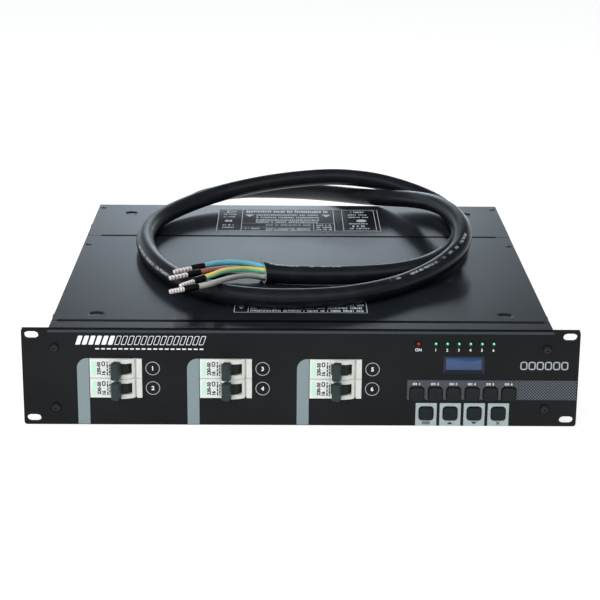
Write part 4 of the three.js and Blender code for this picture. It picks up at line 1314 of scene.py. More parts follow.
@dataclass
class FrontPanel:
    """Rack panel with its screws, its prints, and painted shade and a painted highlight along its top edge.

    The bars, dashes and boxes of the plain signs are each given as the first one's place, their pitch and
    their height on the panel.
    """

    edge: float = 0.35
    stripe_width: float = 10.4
    stripe_top: float = 61.2
    stripe_round: float = 9.0
    stripe_foot: float = 0.5
    stripe_offset: float = 23.2
    ring_offset: float = 31.9
    ring_radius: float = 6.2
    ring_line: float = 0.6
    digit_height: float = 3.9
    small_digit: float = 2.7
    lamp_number_drop: float = 5.6
    status_word_drop: float = 5.5
    key_number_rise: float = 8.9
    band_low: float = 24.4
    band_high: float = 42.4
    band_left: float = 92.6
    key_gap: float = 6.7
    arch: float = 3.2
    plate_width: float = 18.4
    plate_top: float = 21.2
    plate_hole: float = 13.4
    icon_height: float = 2.7
    bars: tuple[float, float, float] = (-191.5, 5.6, 77.6)
    dashes: tuple[float, float, float] = (-176.0, 5.0, 69.8)
    boxes: tuple[float, float, float] = (193.4, 7.1, 56.0)
    # Width and drop below the panel's top of the painted highlight strip on its face.
    sheen_width: float = 2.2
    sheen_drop: float = 2.4
    # Size and setback of the painted shade strip on the panel's top face.
    top_edge: tuple[float, float] = (481.4, 2.3)
    top_edge_back: float = 1.75

    def stripe(self) -> Surface:
        """Grey stripe up from the panel's foot with a round upper left corner, its right edge at x = 0."""
        turn = np.linspace(np.pi / 2, np.pi, 9)
        reach = self.stripe_round
        corner = np.column_stack([reach - self.stripe_width + reach * np.cos(turn),
                                  self.stripe_top - reach + reach * np.sin(turn)])
        foot = self.stripe_foot
        return flat_shape(np.vstack([[0, foot], [0, self.stripe_top], corner, [-self.stripe_width, foot]]))

    def screw(self) -> Surface:
        """Domed screw head along Z with a six-sided socket: rows of circles, then of hexagons."""
        return hexed([(3.9, 0.0, 0), (3.9, 0.25, 0), (3.65, 0.95, 0), (3.1, 1.6, 0), (2.4, 2.05, 0),
                      (1.95, 2.2, 0), (1.75, 2.1, 1), (1.7, 1.0, 1)], 48)

    def band(self) -> Surface:
        """Woven band: a strip over the channel keys, posts between them and a fillet at each corner."""
        low, high = self.band_low, self.band_high
        top = node_middle("channel_key_1")[2] + self.key_gap
        right = node_high("front_panel")[0] - 1.0
        middles = [node_middle(f"channel_key_{i + 1}")[0] for i in range(CHANNELS)]
        sides = [x + side for x in middles for side in (-self.key_gap, self.key_gap)]
        edges = [self.band_left, *sides, right]
        strips = [(self.band_left, right, top, high)]
        strips += [(edges[i], edges[i + 1], low, top) for i in range(0, len(edges), 2)]
        parts = [flat_shape(np.array([[a, c], [b, c], [b, d], [a, d]])) for a, b, c, d in strips]
        turn = np.linspace(np.pi, np.pi / 2, 7)
        arc = self.arch * np.column_stack([1 + np.cos(turn), np.sin(turn) - 1])
        fillet = np.vstack([[0.0, 0.0], arc])
        for x in middles:
            parts.append(flat_shape(fillet).moved(x - self.key_gap, top))
            parts.append(flat_shape((fillet * [-1, 1])[::-1]).moved(x + self.key_gap, top))
        return joined(parts)

    def plates(self) -> Surface:
        """Grey plate around each menu key, with the key's own outline left free."""
        parts = []
        for i in range(MENU_KEYS):
            middle = node_middle(f"menu_key_{i + 1}")
            outer = round_rectangle(self.plate_width, self.plate_top, 0.4)
            hole = round_rectangle(self.plate_hole, self.plate_hole, 3.4)
            outer[:, 1] += self.plate_top / 2 - middle[2]
            parts.append(Side.FRONT.put(flat_ring(outer, hole), middle[0], FRONT_Y, middle[2]))
        return joined(parts)

    def level_sign(self) -> Surface:
        """Plain row of slanting bars, the first ones solid, with a dashed rule below, in place of a name."""
        lean = np.array([[1.0, 0.0], [0.34, 1.0]])
        parts = []
        left, pitch, height = self.bars
        for i in range(20):
            outer = round_rectangle(4.0, 8.2, 0.7, 2) @ lean + [left + pitch * i, height]
            inner = round_rectangle(3.0, 7.2, 0.4, 2) @ lean + [left + pitch * i, height]
            parts.append(flat_shape(outer) if i < 6 else flat_ring(outer, inner))
        left, pitch, height = self.dashes
        dash = round_rectangle(3.5, 1.2, 0.4, 2)
        parts += [flat_shape(dash + [left + pitch * i, height]) for i in range(19)]
        return joined(parts)

    def key_label(self, number: int) -> Surface:
        """Two small squares and a number, for over a channel key."""
        squares = [outline_frame(1.7, 2.1, 0.5, 0.2).moved(x) for x in (-3.0, -0.9)]
        return joined(squares + [lettering(str(number), 2.2, 0.03).moved(2.2)])

    def icon(self, number: int) -> Surface:
        """Plain sign under a menu key: a list, an upward and a downward arrow, and a cross.

        Args:
            number: which of the four signs, from 0.

        Returns:
            The sign, centred on the origin.
        """
        if number == 0:
            line = round_rectangle(7.0, 0.6, 0.1, 1)
            return joined([flat_shape(line + [0, 0.95 * row]) for row in (-1, 0, 1)])
        if number in (1, 2):
            tip = 1.2 if number == 1 else -1.2
            return flat_shape(np.array([[-2.7, -tip], [2.7, -tip], [0, tip]])[::-1])
        turn = math.radians(45)
        bar = round_rectangle(4.0, 0.7, 0.1, 1)
        spin = np.array([[math.cos(turn), math.sin(turn)], [-math.sin(turn), math.cos(turn)]])
        return flat_shape(bar @ spin) + flat_shape(bar @ spin.T)

    def white_prints(self) -> Surface:
        """Numbers in the rings, under the lamps and over the keys, the lamp's word and the left sign."""
        parts = [self.level_sign()]
        for pole in range(CHANNELS):
            middle = node_middle(f"breaker_{pole + 1}")
            digit = lettering(str(pole + 1), self.digit_height, 0.035)
            parts.append(digit.moved(middle[0] + self.ring_offset, middle[2]))
            lamp = node_middle(f"channel_lamp_{pole + 1}")
            number = lettering(str(pole + 1), self.small_digit)
            parts.append(number.moved(lamp[0], lamp[2] - self.lamp_number_drop))
            key = node_middle(f"channel_key_{pole + 1}")
            parts.append(self.key_label(pole + 1).moved(key[0], key[2] + self.key_number_rise, PRINT_DEPTH))
        status = node_middle("status_lamp")
        parts.append(lettering("ON", self.small_digit).moved(status[0], status[2] - self.status_word_drop))
        return joined(parts)

    @staticmethod
    def _print(name: str, shape: Surface, ink: Finish) -> None:
        """Makes a flat layer on the panel's face from its shape in X and Z: a print, or a strip of painted
        light.
        """
        publish(name, Side.FRONT.put(shape, 0.0, FRONT_Y, 0.0), ink)

    def build(self) -> None:
        """Makes the panel, its screws, its prints, and the painted shade and painted highlight along its top
        edge.
        """
        refined("front_panel", "rack_panel", PANEL_PAINT, self.edge)
        left, pitch, height = self.boxes
        outlines = [outline_frame(6.2, 7.6, 1.1, 0.8).moved(left + pitch * i, height) for i in range(6)]
        stripes = []
        for pole in range(CHANNELS):
            middle = node_middle(f"breaker_{pole + 1}")
            ring = flat_ring(circle(self.ring_radius), circle(self.ring_radius - self.ring_line))
            outlines.append(ring.moved(middle[0] + self.ring_offset, middle[2]))
            if pole % 2 == 0:
                stripes.append(self.stripe().moved(middle[0] - self.stripe_offset))
        self._print("panel_stripes", joined(stripes), GREY_INK)
        self._print("panel_rings", joined(outlines), RING_INK)
        self._print("panel_white_prints", self.white_prints(), WHITE_INK)
        self._print("panel_woven_band", self.band(), WEAVE)
        publish("menu_key_plates", self.plates(), PLATE_INK)
        # Painted shade: a near-black strip over the panel's top face stands in for the shaded gap behind its
        # top edge.
        panel_top = node_high("front_panel")[2]
        top = flat_shape(round_rectangle(*self.top_edge, 0.1, 1)).moved(0.0, FRONT_Y + self.top_edge_back)
        publish("panel_top_shade", top.moved(z=panel_top), PAINTED_SHADE)
        # Painted highlight: a grey strip just under the panel's top edge, where the edge catches the light.
        highlight = flat_shape(round_rectangle(2 * CASE_HALF, self.sheen_width, 0.3, 2))
        self._print("panel_edge_painted_highlight", highlight.moved(0.0, panel_top - self.sheen_drop), PAINTED_HIGHLIGHT)
        icons = [self.icon(i).moved(node_middle(f"menu_key_{i + 1}")[0], self.icon_height, PRINT_DEPTH)
                 for i in range(MENU_KEYS)]
        self._print("menu_key_signs", joined(icons), DARK_INK)
        screw = self.screw() + turned([(2.0, -10.0), (2.0, 0.0)], 16)
        for number in range(1, 5):
            node = f"front_panel_screw_{number}"
            middle = node_middle(node)
            placed = Side.FRONT.put(screw, middle[0], FRONT_Y - SEAT, middle[2])
            publish(f"panel_screw_{number}", placed, BLACK_STEEL, nodes=[node])


@dataclass
class Breakers:
    """Six breaker poles with their labels and their levers."""

    axle_x: float = 5.0
    axle_y: float = 6.0
    rest_turn: float = 17.0
    drum_radius: float = 8.6
    drum_width: float = 9.4
    lever_width: float = 15.6
    lever_thickness: float = 7.2
    lever_foot: float = 10.9
    lever_tip: float = 18.4
    label_left: float = -22.3
    label_right: float = -5.2
    label_half: float = 8.3
    nose_y: float = -0.4
    green_inset: float = 3.4
    digits_inset: float = 11.6
    dash_start: float = -6.4
    dash_gap: float = 0.8

    def paddle(self) -> Surface:
        """Lever's finger piece along -Y: rounded outline in XZ, drawn in towards its tip and foot."""
        depth = self.lever_tip - self.lever_foot
        profile = edge_round(0.9, 0.0, up=False) + [(0.0, depth * 0.55)] + edge_round(1.1, depth, steps=6)
        block = pillow(self.lever_thickness, self.lever_width, 1.4, profile)
        return Side.FRONT.put(block, 0.0, -self.lever_foot, 0.0)

    def drum(self) -> Surface:
        """Ribbed drum about Z: its radius dips by a quarter of a millimetre in 36 grooves round it."""
        radius = self.drum_radius - 0.25 * (np.sin(36 * full_turn(216)) > 0.2)
        height = np.array([-1.0, -0.94, 0.94, 1.0]) * self.drum_width / 2
        share = np.array([0.95, 1.0, 1.0, 0.95])[:, None]
        return lofted(rings(share * radius, height))

    def stalk(self) -> Surface:
        """Neck between the drum and the finger piece."""
        rows = [np.column_stack([round_rectangle(5.0, self.drum_width, 1.0, 3), np.full(16, z)])
                for z in (0.0, self.lever_foot + 0.6)]
        return Side.FRONT.put(lofted(np.stack(rows)), 0.0, 0.0, 0.0)

    def trunnions(self) -> Surface:
        """Pins on which the drum turns."""
        return turned([(1.6, -6.4), (1.6, 6.4)], 16)

    def label(self) -> tuple[Surface, Surface, Surface]:
        """Paper, green stripe and dark marks of one pole's label, about the pole's middle."""
        left = self.label_left
        width = self.label_right - left
        middle = (left + self.label_right) / 2
        paper = flat_shape(round_rectangle(width, 2 * self.label_half, 0.5, 2) + [middle, 0.0])
        green = flat_shape(round_rectangle(3.7, 13.2, 0.3, 2) + [left + self.green_inset, 0.0])
        turn = np.array([[0.0, 1.0, 0.0], [-1.0, 0.0, 0.0], [0.0, 0.0, 1.0]])
        marks = [lettering(text, tall, 0.05).mapped(turn, (left + x, z, 0.0))
                 for text, tall, x, z in (("230-50", 3.3, 7.6, 0.0), ("16", 3.5, self.digits_inset, -4.2))]
        marks.append(outline_frame(3.2, 4.6, 0.9, 0.4).moved(left + self.digits_inset, 4.2))
        for column, talls in ((15.0, (3.1, 2.2, 3.4, 1.5)), (16.9, (1.2, 2.6, 1.7, 2.2))):
            z = self.dash_start
            for tall in talls:
                dash = round_rectangle(1.1, tall, 0.2, 1) + [left + column, z + tall / 2]
                marks.append(flat_shape(dash))
                z += tall + self.dash_gap
        return paper, green.moved(z=PRINT_DEPTH), joined(marks).moved(z=PRINT_DEPTH)

    def build(self) -> None:
        """Makes the poles, labels and levers."""
        layers: list[list[Surface]] = [[], [], []]
        turn = math.radians(self.rest_turn)
        across, along = math.cos(turn), math.sin(turn)
        tilt = np.array([[across, -along, 0], [along, across, 0], [0, 0, 1]])
        for number in range(1, CHANNELS + 1):
            node = f"breaker_{number}"
            refined(node, f"breaker_pole_{number}", BREAKER_PLASTIC, 0.3)
            middle = node_middle(node)
            for layer, shape in zip(layers, self.label()):
                layer.append(shape.moved(middle[0], middle[2]))
            axle = (middle[0] + self.axle_x, FRONT_Y + self.axle_y, middle[2])
            body = f"lever_{number}"
            finger = (self.paddle() + self.stalk()).mapped(tilt, axle)
            drum = (self.drum() + self.trunnions()).mapped(tilt, axle)
            publish(f"lever_finger_{number}", finger, LEVER_PLASTIC, body,
                    [f"breaker_lever_{number}"])
            publish(f"lever_drum_{number}", drum, DRUM_PLASTIC, body)
        names = ("label_papers", "label_stripes", "label_marks")
        for name, finish, layer in zip(names, (LABEL_PAPER, LABEL_GREEN, LABEL_INK), layers):
            face = Side.FRONT.put(joined(layer), 0.0, FRONT_Y + self.nose_y, 0.0)
            publish(f"breaker_{name}", face, finish)
        dress("breaker_rail", ZINC)


@dataclass
class ControlArea:
    """Lamps, display and keys."""

    lamp_radius: float = 2.5
    lamp_proud: float = 2.6
    key_size: float = 12.0
    key_corner: float = 3.0
    key_proud: float = 1.8
    flange_seat: float = -3.3
    display_recess: float = 1.4
    display_rim: float = 6.8
    bezel_slope: float = 4.6
    pane_lift: float = 0.9

    def lamp(self) -> Surface:
        """Lamp along Z, from its round tip through its flange to its leg."""
        angle = np.linspace(np.pi / 2, 0, 10)
        radius, tip = self.lamp_radius, self.lamp_proud
        dome = zip((radius * np.cos(angle)).tolist(), (tip - radius + radius * np.sin(angle)).tolist())
        seat, back = self.flange_seat, self.flange_seat - 1.0
        return turned([*dome, (radius, seat), (2.9, seat), (2.9, back), (2.0, back), (2.0, -13.7)], 32)

    def key(self) -> Surface:
        """Key cap along Z: soft edge, and a face dished by a quarter of a millimetre."""
        edge = edge_round(0.8, self.key_proud, steps=5)
        dish = [(1.6, self.key_proud - 0.05), (3.0, self.key_proud - 0.18), (4.6, self.key_proud - 0.25)]
        cap = pillow(self.key_size, self.key_size, self.key_corner, [(0.0, self.flange_seat), *edge, *dish])
        rim = flat_shape(round_rectangle(13.8, 13.8, 0.6, 2), 0.8).moved(z=-4.1)
        return cap + rim + turned([(1.6, -10.0), (1.6, -3.5)], 12)

    def bezel(self, width: float, height: float) -> Surface:
        """Dark frame about Z that slopes down to the display's pane; its rows are inset, lift and height.

        Args:
            width: its outer width.
            height: its outer height.

        Returns:
            The frame, with the panel's face at z = 0.
        """
        slope, lift = self.bezel_slope, self.pane_lift
        sizes = [(0.0, 0.0, -0.2), (0.6, 0.0, -0.25), (slope, lift, -1.3), (slope, lift, -3.0),
                 (0.0, 0.0, -3.0)]
        rows = [np.column_stack([round_rectangle(width - less, height - less, 0.4) + [0.0, up],
                                 np.full(28, z)]) for less, up, z in sizes]
        return lofted(np.stack(rows), loop=True)

    def build(self) -> None:
        """Makes the lamps, display and keys."""
        front = Side.FRONT
        for number in range(CHANNELS + 1):
            node = f"channel_lamp_{number}" if number else "status_lamp"
            middle = node_middle(node)
            finish, slot = (GREEN_LENS, "green_lamp") if number else (RED_LENS, "red_lamp")
            lamp = front.put(self.lamp(), middle[0], FRONT_Y, middle[2])
            publish(node + "_lens", lamp, finish, nodes=[node])
        for kind, count in (("channel", CHANNELS), ("menu", MENU_KEYS)):
            for number in range(1, count + 1):
                node = f"{kind}_key_{number}"
                middle = node_middle(node)
                cap = front.put(self.key(), middle[0], FRONT_Y, middle[2])
                publish(node + "_cap", cap, KEY_PLASTIC, f"{kind}_button_{number}", [node])
        self.build_display()
        dress("control_board", CIRCUIT_BOARD)

    def build_display(self) -> None:
        """Makes the display's pane, bezel and module."""
        low, high = node_low("display_module"), node_high("display_module")
        middle = (low + high) / 2
        width, height = high[0] - low[0] - self.display_rim, high[2] - low[2] - self.display_rim
        glass = DisplayPane("display_pane", "1e3863", "2a4a74", middle[2] - height / 2,
                            middle[2] + height / 2)
        pane = pillow(width - self.bezel_slope, height - self.bezel_slope, 0.4,
                      [(0.0, -4.0), (0.0, -1.5), (0.2, -self.display_recess)]).moved(0.0, self.pane_lift)
        module = round_rectangle(width + self.display_rim, height + self.display_rim, 0.6, 2)
        for name, shape, finish, nodes in (
                ("glass", pane, glass, ["display_module"]),
                ("bezel", self.bezel(width - 0.2, height - 0.2), BEVEL_PLASTIC, []),
                ("case", flat_shape(module, 10.0).moved(z=-13.7), BEZEL_PLASTIC, [])):
            placed = Side.FRONT.put(shape, middle[0], FRONT_Y, middle[2])
            publish(f"display_{name}", placed, finish, nodes=nodes)


# The case


@dataclass
class Case:
    """Tray, lids and rear panel with their screws, the prints on the lids and painted shade along the lid
    seams.

    A seam's strip of painted shade is given as its inset from the case's sides and its width. Places along
    the case count from the panel's front face.
    """

    edge: float = 0.4
    line: float = 0.7
    front_seam: tuple[float, float] = (5.0, 6.0)
    rear_seam: tuple[float, float] = (14.0, 5.2)
    seam_gap: float = 0.8
    dimple_inset: float = 37.5
    dimple_front: float = 47.0
    dimple_rear_inset: float = 36.8
    rating_width: float = 172.8
    rating_height: float = 90.0
    rating_place: float = 380.0
    caution_width: float = 119.4
    caution_height: float = 60.0
    caution_place: float = 83.0
    lid_screw_out: float = 213.2
    lid_screw_places: tuple[float, float] = (279.0, 430.0)
    side_screw_places: tuple[float, float] = (60.0, 375.0)
    side_screw_height: float = 78.0

    def seams(self) -> Surface:
        """Painted shade: dark strips standing in for the shaded gaps along the seams before and between the
        lids.
        """
        strips = []
        for node, (inset, width) in (("front_lid", self.front_seam), ("rear_lid", self.rear_seam)):
            strip = flat_shape(round_rectangle(2 * (CASE_HALF - inset), width, 0.1, 1))
            strips.append(strip.moved(0.0, node_low(node)[1] - self.seam_gap / 2, LID_Z))
        return joined(strips)

    def dimple(self) -> Surface:
        """Lining of a pressed dimple: a round dish with a rolled rim, as radius and height."""
        return turned([(0.3, -1.35), (7.7, -1.35), (8.4, -0.05), (8.2, 0.1), (7.8, 0.12), (7.4, 0.0),
                       (7.1, -0.4), (6.8, -0.8), (6.3, -0.94), (5.4, -0.98), (0.3, -0.99)], 48)

    def small_screw(self) -> Surface:
        """Countersunk lid screw with a cross recess sunk into its flat head."""
        ring = np.ones(48)
        cross = 0.35 + 0.65 * np.abs(np.cos(2 * full_turn(48))) ** 6
        return shell([(3.2 * ring, 0.0), (3.1 * ring, 0.3), (2.6 * ring, 0.42), (1.9 * cross, 0.4),
                      (1.5 * cross, -0.5)])

    def side_screw(self) -> Surface:
        """Pan-head screw on a side wall."""
        return turned([(4.2, 0.0), (4.2, 1.6), (3.9, 2.4), (3.2, 3.0), (2.2, 3.3), (0.9, 3.35),
                       (0.8, 2.4)], 32)

    def rating_frame(self) -> Surface:
        """Frame on the rear lid: boxes with rows of plain dashes and a few plain signs."""
        wide, tall = self.rating_width, self.rating_height
        parts = [outline_frame(wide, tall, self.line)]
        left, mid, right = -wide / 2 + 26.0, 38.0, 47.0
        parts += [self._rule(left, -tall / 2, left, tall / 2), self._rule(mid, -tall / 2, mid, tall / 2)]
        box = outline_frame(wide / 2 - right - 4.0, tall - 6.0, self.line)
        parts += [box.moved((wide / 2 - 4.0 + right) / 2, 0.0)]
        parts += [self._rule(left, -14.0, mid, -14.0), self._rule(left, -30.0, 16.0, -30.0)]
        parts += [self._rule(16.0, -tall / 2, 16.0, -14.0)]
        parts += self._dashes(left + 15.0, mid - 15.0, (21.0, 10.5, -0.5, -9.0), 6.5, 11)
        parts += self._dashes(left + 4.0, mid - 4.0, (35.5,), 11.0, 21)
        parts += self._dashes(left + 26.0, 13.0, (-21.5, -36.0, -41.5), 4.5, 31)
        parts += self._dashes(left + 4.0, left + 20.0, (-36.0,), 5.0, 35)
        parts += self._dashes(19.0, mid - 3.0, (-21.5, -30.0, -38.5), 5.5, 41)
        parts += self._dashes(right + 7.0, wide / 2 - 11.0, (23.0, 13.0, -14.5, -34.0), 4.6, 51)
        parts += self._dashes(right + 10.0, wide / 2 - 14.0, (35.0, -24.5), 7.5, 53)
        for x in (left + 8.0, mid - 8.0):
            parts.append(flat_shape(np.array([[-5.0, 6.0], [5.0, 6.0], [0.0, -4.0]])[::-1]).moved(x, 17.0))
        parts += [flat_ring(circle(7.5, 3), circle(4.6, 3)).moved(left - 13.0, 35.0)]
        parts += self._dashes(-wide / 2 + 6.0, left - 6.0, (23.5, 12.5, -22.0, -32.0), 5.0, 61)
        parts += self._dashes(-wide / 2 + 8.0, left - 8.0, (-4.5,), 10.0, 65)
        parts += [flat_shape(circle(5.6, 24)).moved(wide / 2 - 19.0, -2.0)]
        return joined(parts)

    def caution_frame(self) -> Surface:
        """Frame on the front lid: one cell at its left end, and rows of plain dashes."""
        wide, tall = self.caution_width, self.caution_height
        parts = [outline_frame(wide, tall, self.line), self._rule(-47.0, -tall / 2, -47.0, tall / 2)]
        parts += self._dashes(-45.0, 57.0, (-24.5, -16.0, -7.5, 4.0, 13.0, 22.0), 6.6, 71)
        parts += [flat_shape(np.array([[-2.5, 3.0], [2.5, 3.0], [0.0, -2.5]])[::-1]).moved(-53.3, -17.0)]
        return joined(parts)

    def _rule(self, x0: float, y0: float, x1: float, y1: float) -> Surface:
        """Thin straight line along X or Y, from its lower left end at (x0, y0) to its other end (x1, y1)."""
        half = self.line / 2
        return flat_shape(np.array([[x0 - half, y0 - half], [x1 + half, y0 - half], [x1 + half, y1 + half],
                                    [x0 - half, y1 + half]]))

    @staticmethod
    def _dashes(left: float, right: float, heights: Sequence[float], tall: float, seed: int) -> list[Surface]:
        """Rows of small bars of mixed sizes, with wider gaps here and there, in place of lines of writing.

        Args:
            left: where each row starts.
            right: where each row ends.
            heights: middle of each row.
            tall: height of the tallest bars.
            seed: start of the random sizes.

        Returns:
            One surface a bar.
        """
        mixer = np.random.default_rng(seed)
        bars = []
        for y in heights:
            x = left
            while x < right - 1.5:
                wide = min(float(mixer.uniform(0.7, 2.3)), right - x)
                low = y - tall / 2 * mixer.uniform(0.6, 1.0)
                high = y + tall / 2 * mixer.uniform(0.6, 1.0)
                bars.append(flat_shape(np.array([[x, low], [x + wide, low], [x + wide, high], [x, high]])))
                x += wide + float(mixer.choice([0.45, 0.6, 0.75, 2.4], p=[0.3, 0.3, 0.24, 0.16]))
        return bars

    def build(self) -> None:
        """Makes the sheet-metal pieces, their screws, the painted shade at the lid seams and the lids'
        prints.
        """
        for node, name in (("chassis_base", "case_tray"), ("front_lid", "lid_front"),
                           ("rear_lid", "lid_rear"), ("rear_panel", "case_rear")):
            refined(node, name, CASE_PAINT, self.edge)
        # Painted shade: dark strips over the seams, where the gaps between the lids lie in shade.
        publish("lid_seam_shade", self.seams(), PAINTED_SHADE)
        out = CASE_HALF - self.dimple_inset
        dishes = [Side.TOP.put(self.dimple(), x, y, LID_Z) for x in (-out, out)
                  for y in (FRONT_Y + self.dimple_front, REAR_Y - self.dimple_rear_inset)]
        publish("lid_dimples", joined(dishes), CASE_PAINT)
        screws = [Side.TOP.put(self.small_screw(), x, FRONT_Y + y, LID_Z)
                  for x in (-self.lid_screw_out, self.lid_screw_out) for y in self.lid_screw_places]
        publish("lid_screws", joined(screws), BLACK_STEEL)
        heads = [side.put(self.side_screw(), x, FRONT_Y + y, self.side_screw_height)
                 for side, x in ((Side.LEFT, -CASE_HALF), (Side.RIGHT, CASE_HALF))
                 for y in self.side_screw_places]
        publish("side_screws", joined(heads), BLACK_STEEL)
        film = flat_shape(round_rectangle(self.rating_width, self.rating_height, 0.5, 2), PRINT_DEPTH / 2)
        rating_y = FRONT_Y + self.rating_place
        publish("lid_label_film", film.moved(0.0, rating_y, LID_Z), LABEL_FILM)
        frames = [self.rating_frame().moved(0.0, rating_y, LID_Z),
                  self.caution_frame().moved(0.0, FRONT_Y + self.caution_place, LID_Z)]
        publish("lid_prints", joined(frames), FRAME_INK)


@dataclass
class RearConnections:
    """Outlets, data connectors, fan and prints of the rear panel."""

    well_depth: float = 17.5
    flange: float = 3.0
    outlet_wall: float = 3.14
    outlet_body: float = 28.0
    hole_out: float = 9.5
    number_size: float = 4.2
    number_height: float = 76.0
    box_size: tuple[float, float] = (47.0, 68.0)
    box_height: float = 46.5
    blade_count: int = 7
    blade_sweep: float = 34.0
    blade_lean: float = 0.25

    def outlet(self, width: float, height: float, well: float) -> Surface:
        """Outlet along Z in one skin: its body, flange edge and face, then its well's wall and floor.

        Args:
            width: the flange's width.
            height: the flange's height.
            well: radius of the round well.

        Returns:
            The outlet, with the back of its flange at z = 0.
        """
        edge, soft, softer = (rounded_edge(width - 2 * inset, height - 2 * inset, 9, 96)
                              for inset in (0.0, 0.3, 1.0))
        face, floor = self.flange, self.flange - self.well_depth
        ring = np.ones(96)
        return shell([
            (ring * (well + 1.4), face - self.outlet_body), (ring * (well + 1.4), 0.0), (edge, 0.0),
            (edge, face - 1.0), (soft, face - 0.3), (softer, face), (ring * (well + 1.6), face),
            (ring * (well + 1.2), face - 0.4), (ring * (well + 0.5), face - 0.4), (ring * well, face - 1.0),
            (ring * (well - 0.1), floor + 0.6), (ring * (well - 0.7), floor),
        ])

    def outlet_contacts(self, well: float) -> tuple[Surface, Surface]:
        """Earth clips of spring metal, and dark sleeves of the two contact holes.

        Args:
            well: radius of the outlet's well.

        Returns:
            The clips and the sleeves.
        """
        floor = self.flange - self.well_depth
        clip = pillow(4.5, 2.0, 0.5, [(0.4, 0.0), (0.0, 0.5), (0.0, 12.0), (0.7, 13.0)])
        clips = [clip.moved(0.0, side * (well - 0.8), floor) for side in (-1, 1)]
        holes = [turned([(3.1, 0.0), (3.1, 0.5), (2.6, 0.5), (2.5, 0.05)], 24).moved(x, 0.0, floor)
                 for x in (-self.hole_out, self.hole_out)]
        return joined(clips), joined(holes)

    def data_shell(self, width: float, height: float, well: float, floor: float) -> Surface:
        """Data connector's flange with a round mouth down to its insert's face.

        Args:
            width: the flange's width.
            height: the flange's height.
            well: radius of the mouth.
            floor: height of the insert's face.

        Returns:
            The shell, with the back of its flange at z = 0.
        """
        edge, soft = (rounded_edge(width - 2 * inset, height - 2 * inset, 7, 72) for inset in (0.0, 0.5))
        ring = np.ones(72)
        return shell([
            (ring * 11.6, -19.8), (ring * 11.6, 0.0), (edge, 0.0), (edge, 1.6), (soft, 2.2),
            (ring * (well + 1.4), 2.2), (ring * (well + 1.2), 1.9), (ring * well, 1.9), (ring * well, floor),
        ])

    def blades(self, hub: float, tip: float, depth: float) -> Surface:
        """Fan blades about Z.

        A blade's point at span s and chord c lies at radius hub + s * (tip - hub). Its angle is swept by
        c * sweep degrees plus s * lean radians, and its height is depth * (0.5 + 0.8 * c).

        Args:
            hub: radius of the blades' feet.
            tip: radius of their tips.
            depth: the rotor's depth.

        Returns:
            The blades.
        """
        span = np.linspace(0, 1, 9)[:, None]
        chord = np.linspace(-0.5, 0.5, 9)[None, :]
        parts = []
        for blade in range(self.blade_count):
            angle = blade * 2 * np.pi / self.blade_count + chord * math.radians(self.blade_sweep) \
                + self.blade_lean * span
            radius = np.broadcast_to(hub + span * (tip - hub), angle.shape)
            height = np.broadcast_to(depth * (0.5 + 0.8 * chord), angle.shape)
            sheet = np.stack([radius * np.cos(angle), radius * np.sin(angle), height], axis=-1)
            thick = np.array([0.0, 0.0, 1.2])
            outline = np.concatenate([sheet, (sheet + thick)[:, ::-1]], axis=1)
            parts.append(lofted(outline))
        return joined(parts)

    def build(self) -> None:
        """Makes the rear pieces."""
        rear = Side.REAR
        base = REAR_Y + SEAT
        for number in range(1, CHANNELS + 1):
            self.build_outlet(number, base)
        self.build_data(base)
        self.build_fan()
        digits, boxes = [], []
        for number in range(1, CHANNELS + 1):
            x = node_middle(f"outlet_{number}")[0]
            digit = lettering(str(number), self.number_size)
            digits.append(rear.put(digit, x, REAR_Y, self.number_height))
            boxes.append(rear.put(outline_frame(*self.box_size, 0.5, 1.0), x, REAR_Y, self.box_height))
        publish("rear_numbers", joined(digits), WHITE_INK)
        publish("rear_outlines", joined(boxes), RING_INK)

    def build_outlet(self, number: int, base: float) -> None:
        """Makes one outlet.

        Args:
            number: its number.
            base: y of its seat on the rear panel.
        """
        node = f"outlet_{number}"
        low, high = node_low(node), node_high(node)
        middle = (low + high) / 2
        width, height = high[0] - low[0], high[2] - low[2]
        well = width / 2 - self.outlet_wall
        clips, holes = self.outlet_contacts(well)
        body, clips, holes = (Side.REAR.put(shape, middle[0], base, middle[2])
                              for shape in (self.outlet(width, height, well), clips, holes))
        publish(f"{node}_shell", body, OUTLET_PLASTIC, nodes=[node], crease=25)
        publish(f"{node}_clips", clips, NICKEL)
        publish(f"{node}_holes", holes, BEZEL_PLASTIC)

    def build_data(self, base: float) -> None:
        """Makes the two data connectors, one with three pins and one with three holes.

        Args:
            base: y of their seat on the rear panel.
        """
        pin = [(1.25, -8.8), (1.25, -3.0), (0.8, -2.4)]
        hole = [(1.9, -0.4), (1.9, -0.15), (1.4, -0.15), (1.3, -0.38)]
        for node, well, shape in (("data_in", 9.4, pin), ("data_out", 9.0, hole)):
            low, high = node_low(node), node_high(node)
            middle = (low + high) / 2
            body = self.data_shell(high[0] - low[0], high[2] - low[2], well, shape[0][1])
            angles = [math.radians(30 + 120 * i) for i in range(3)]
            contacts = joined([turned(shape, 20).moved(5 * math.cos(a), 5 * math.sin(a)) for a in angles])
            body, contacts = (Side.REAR.put(part, middle[0], base, middle[2]) for part in (body, contacts))
            publish(f"{node}_shell", body, CONNECTOR_METAL, nodes=[node], crease=25)
            publish(f"{node}_contacts", contacts, NICKEL)

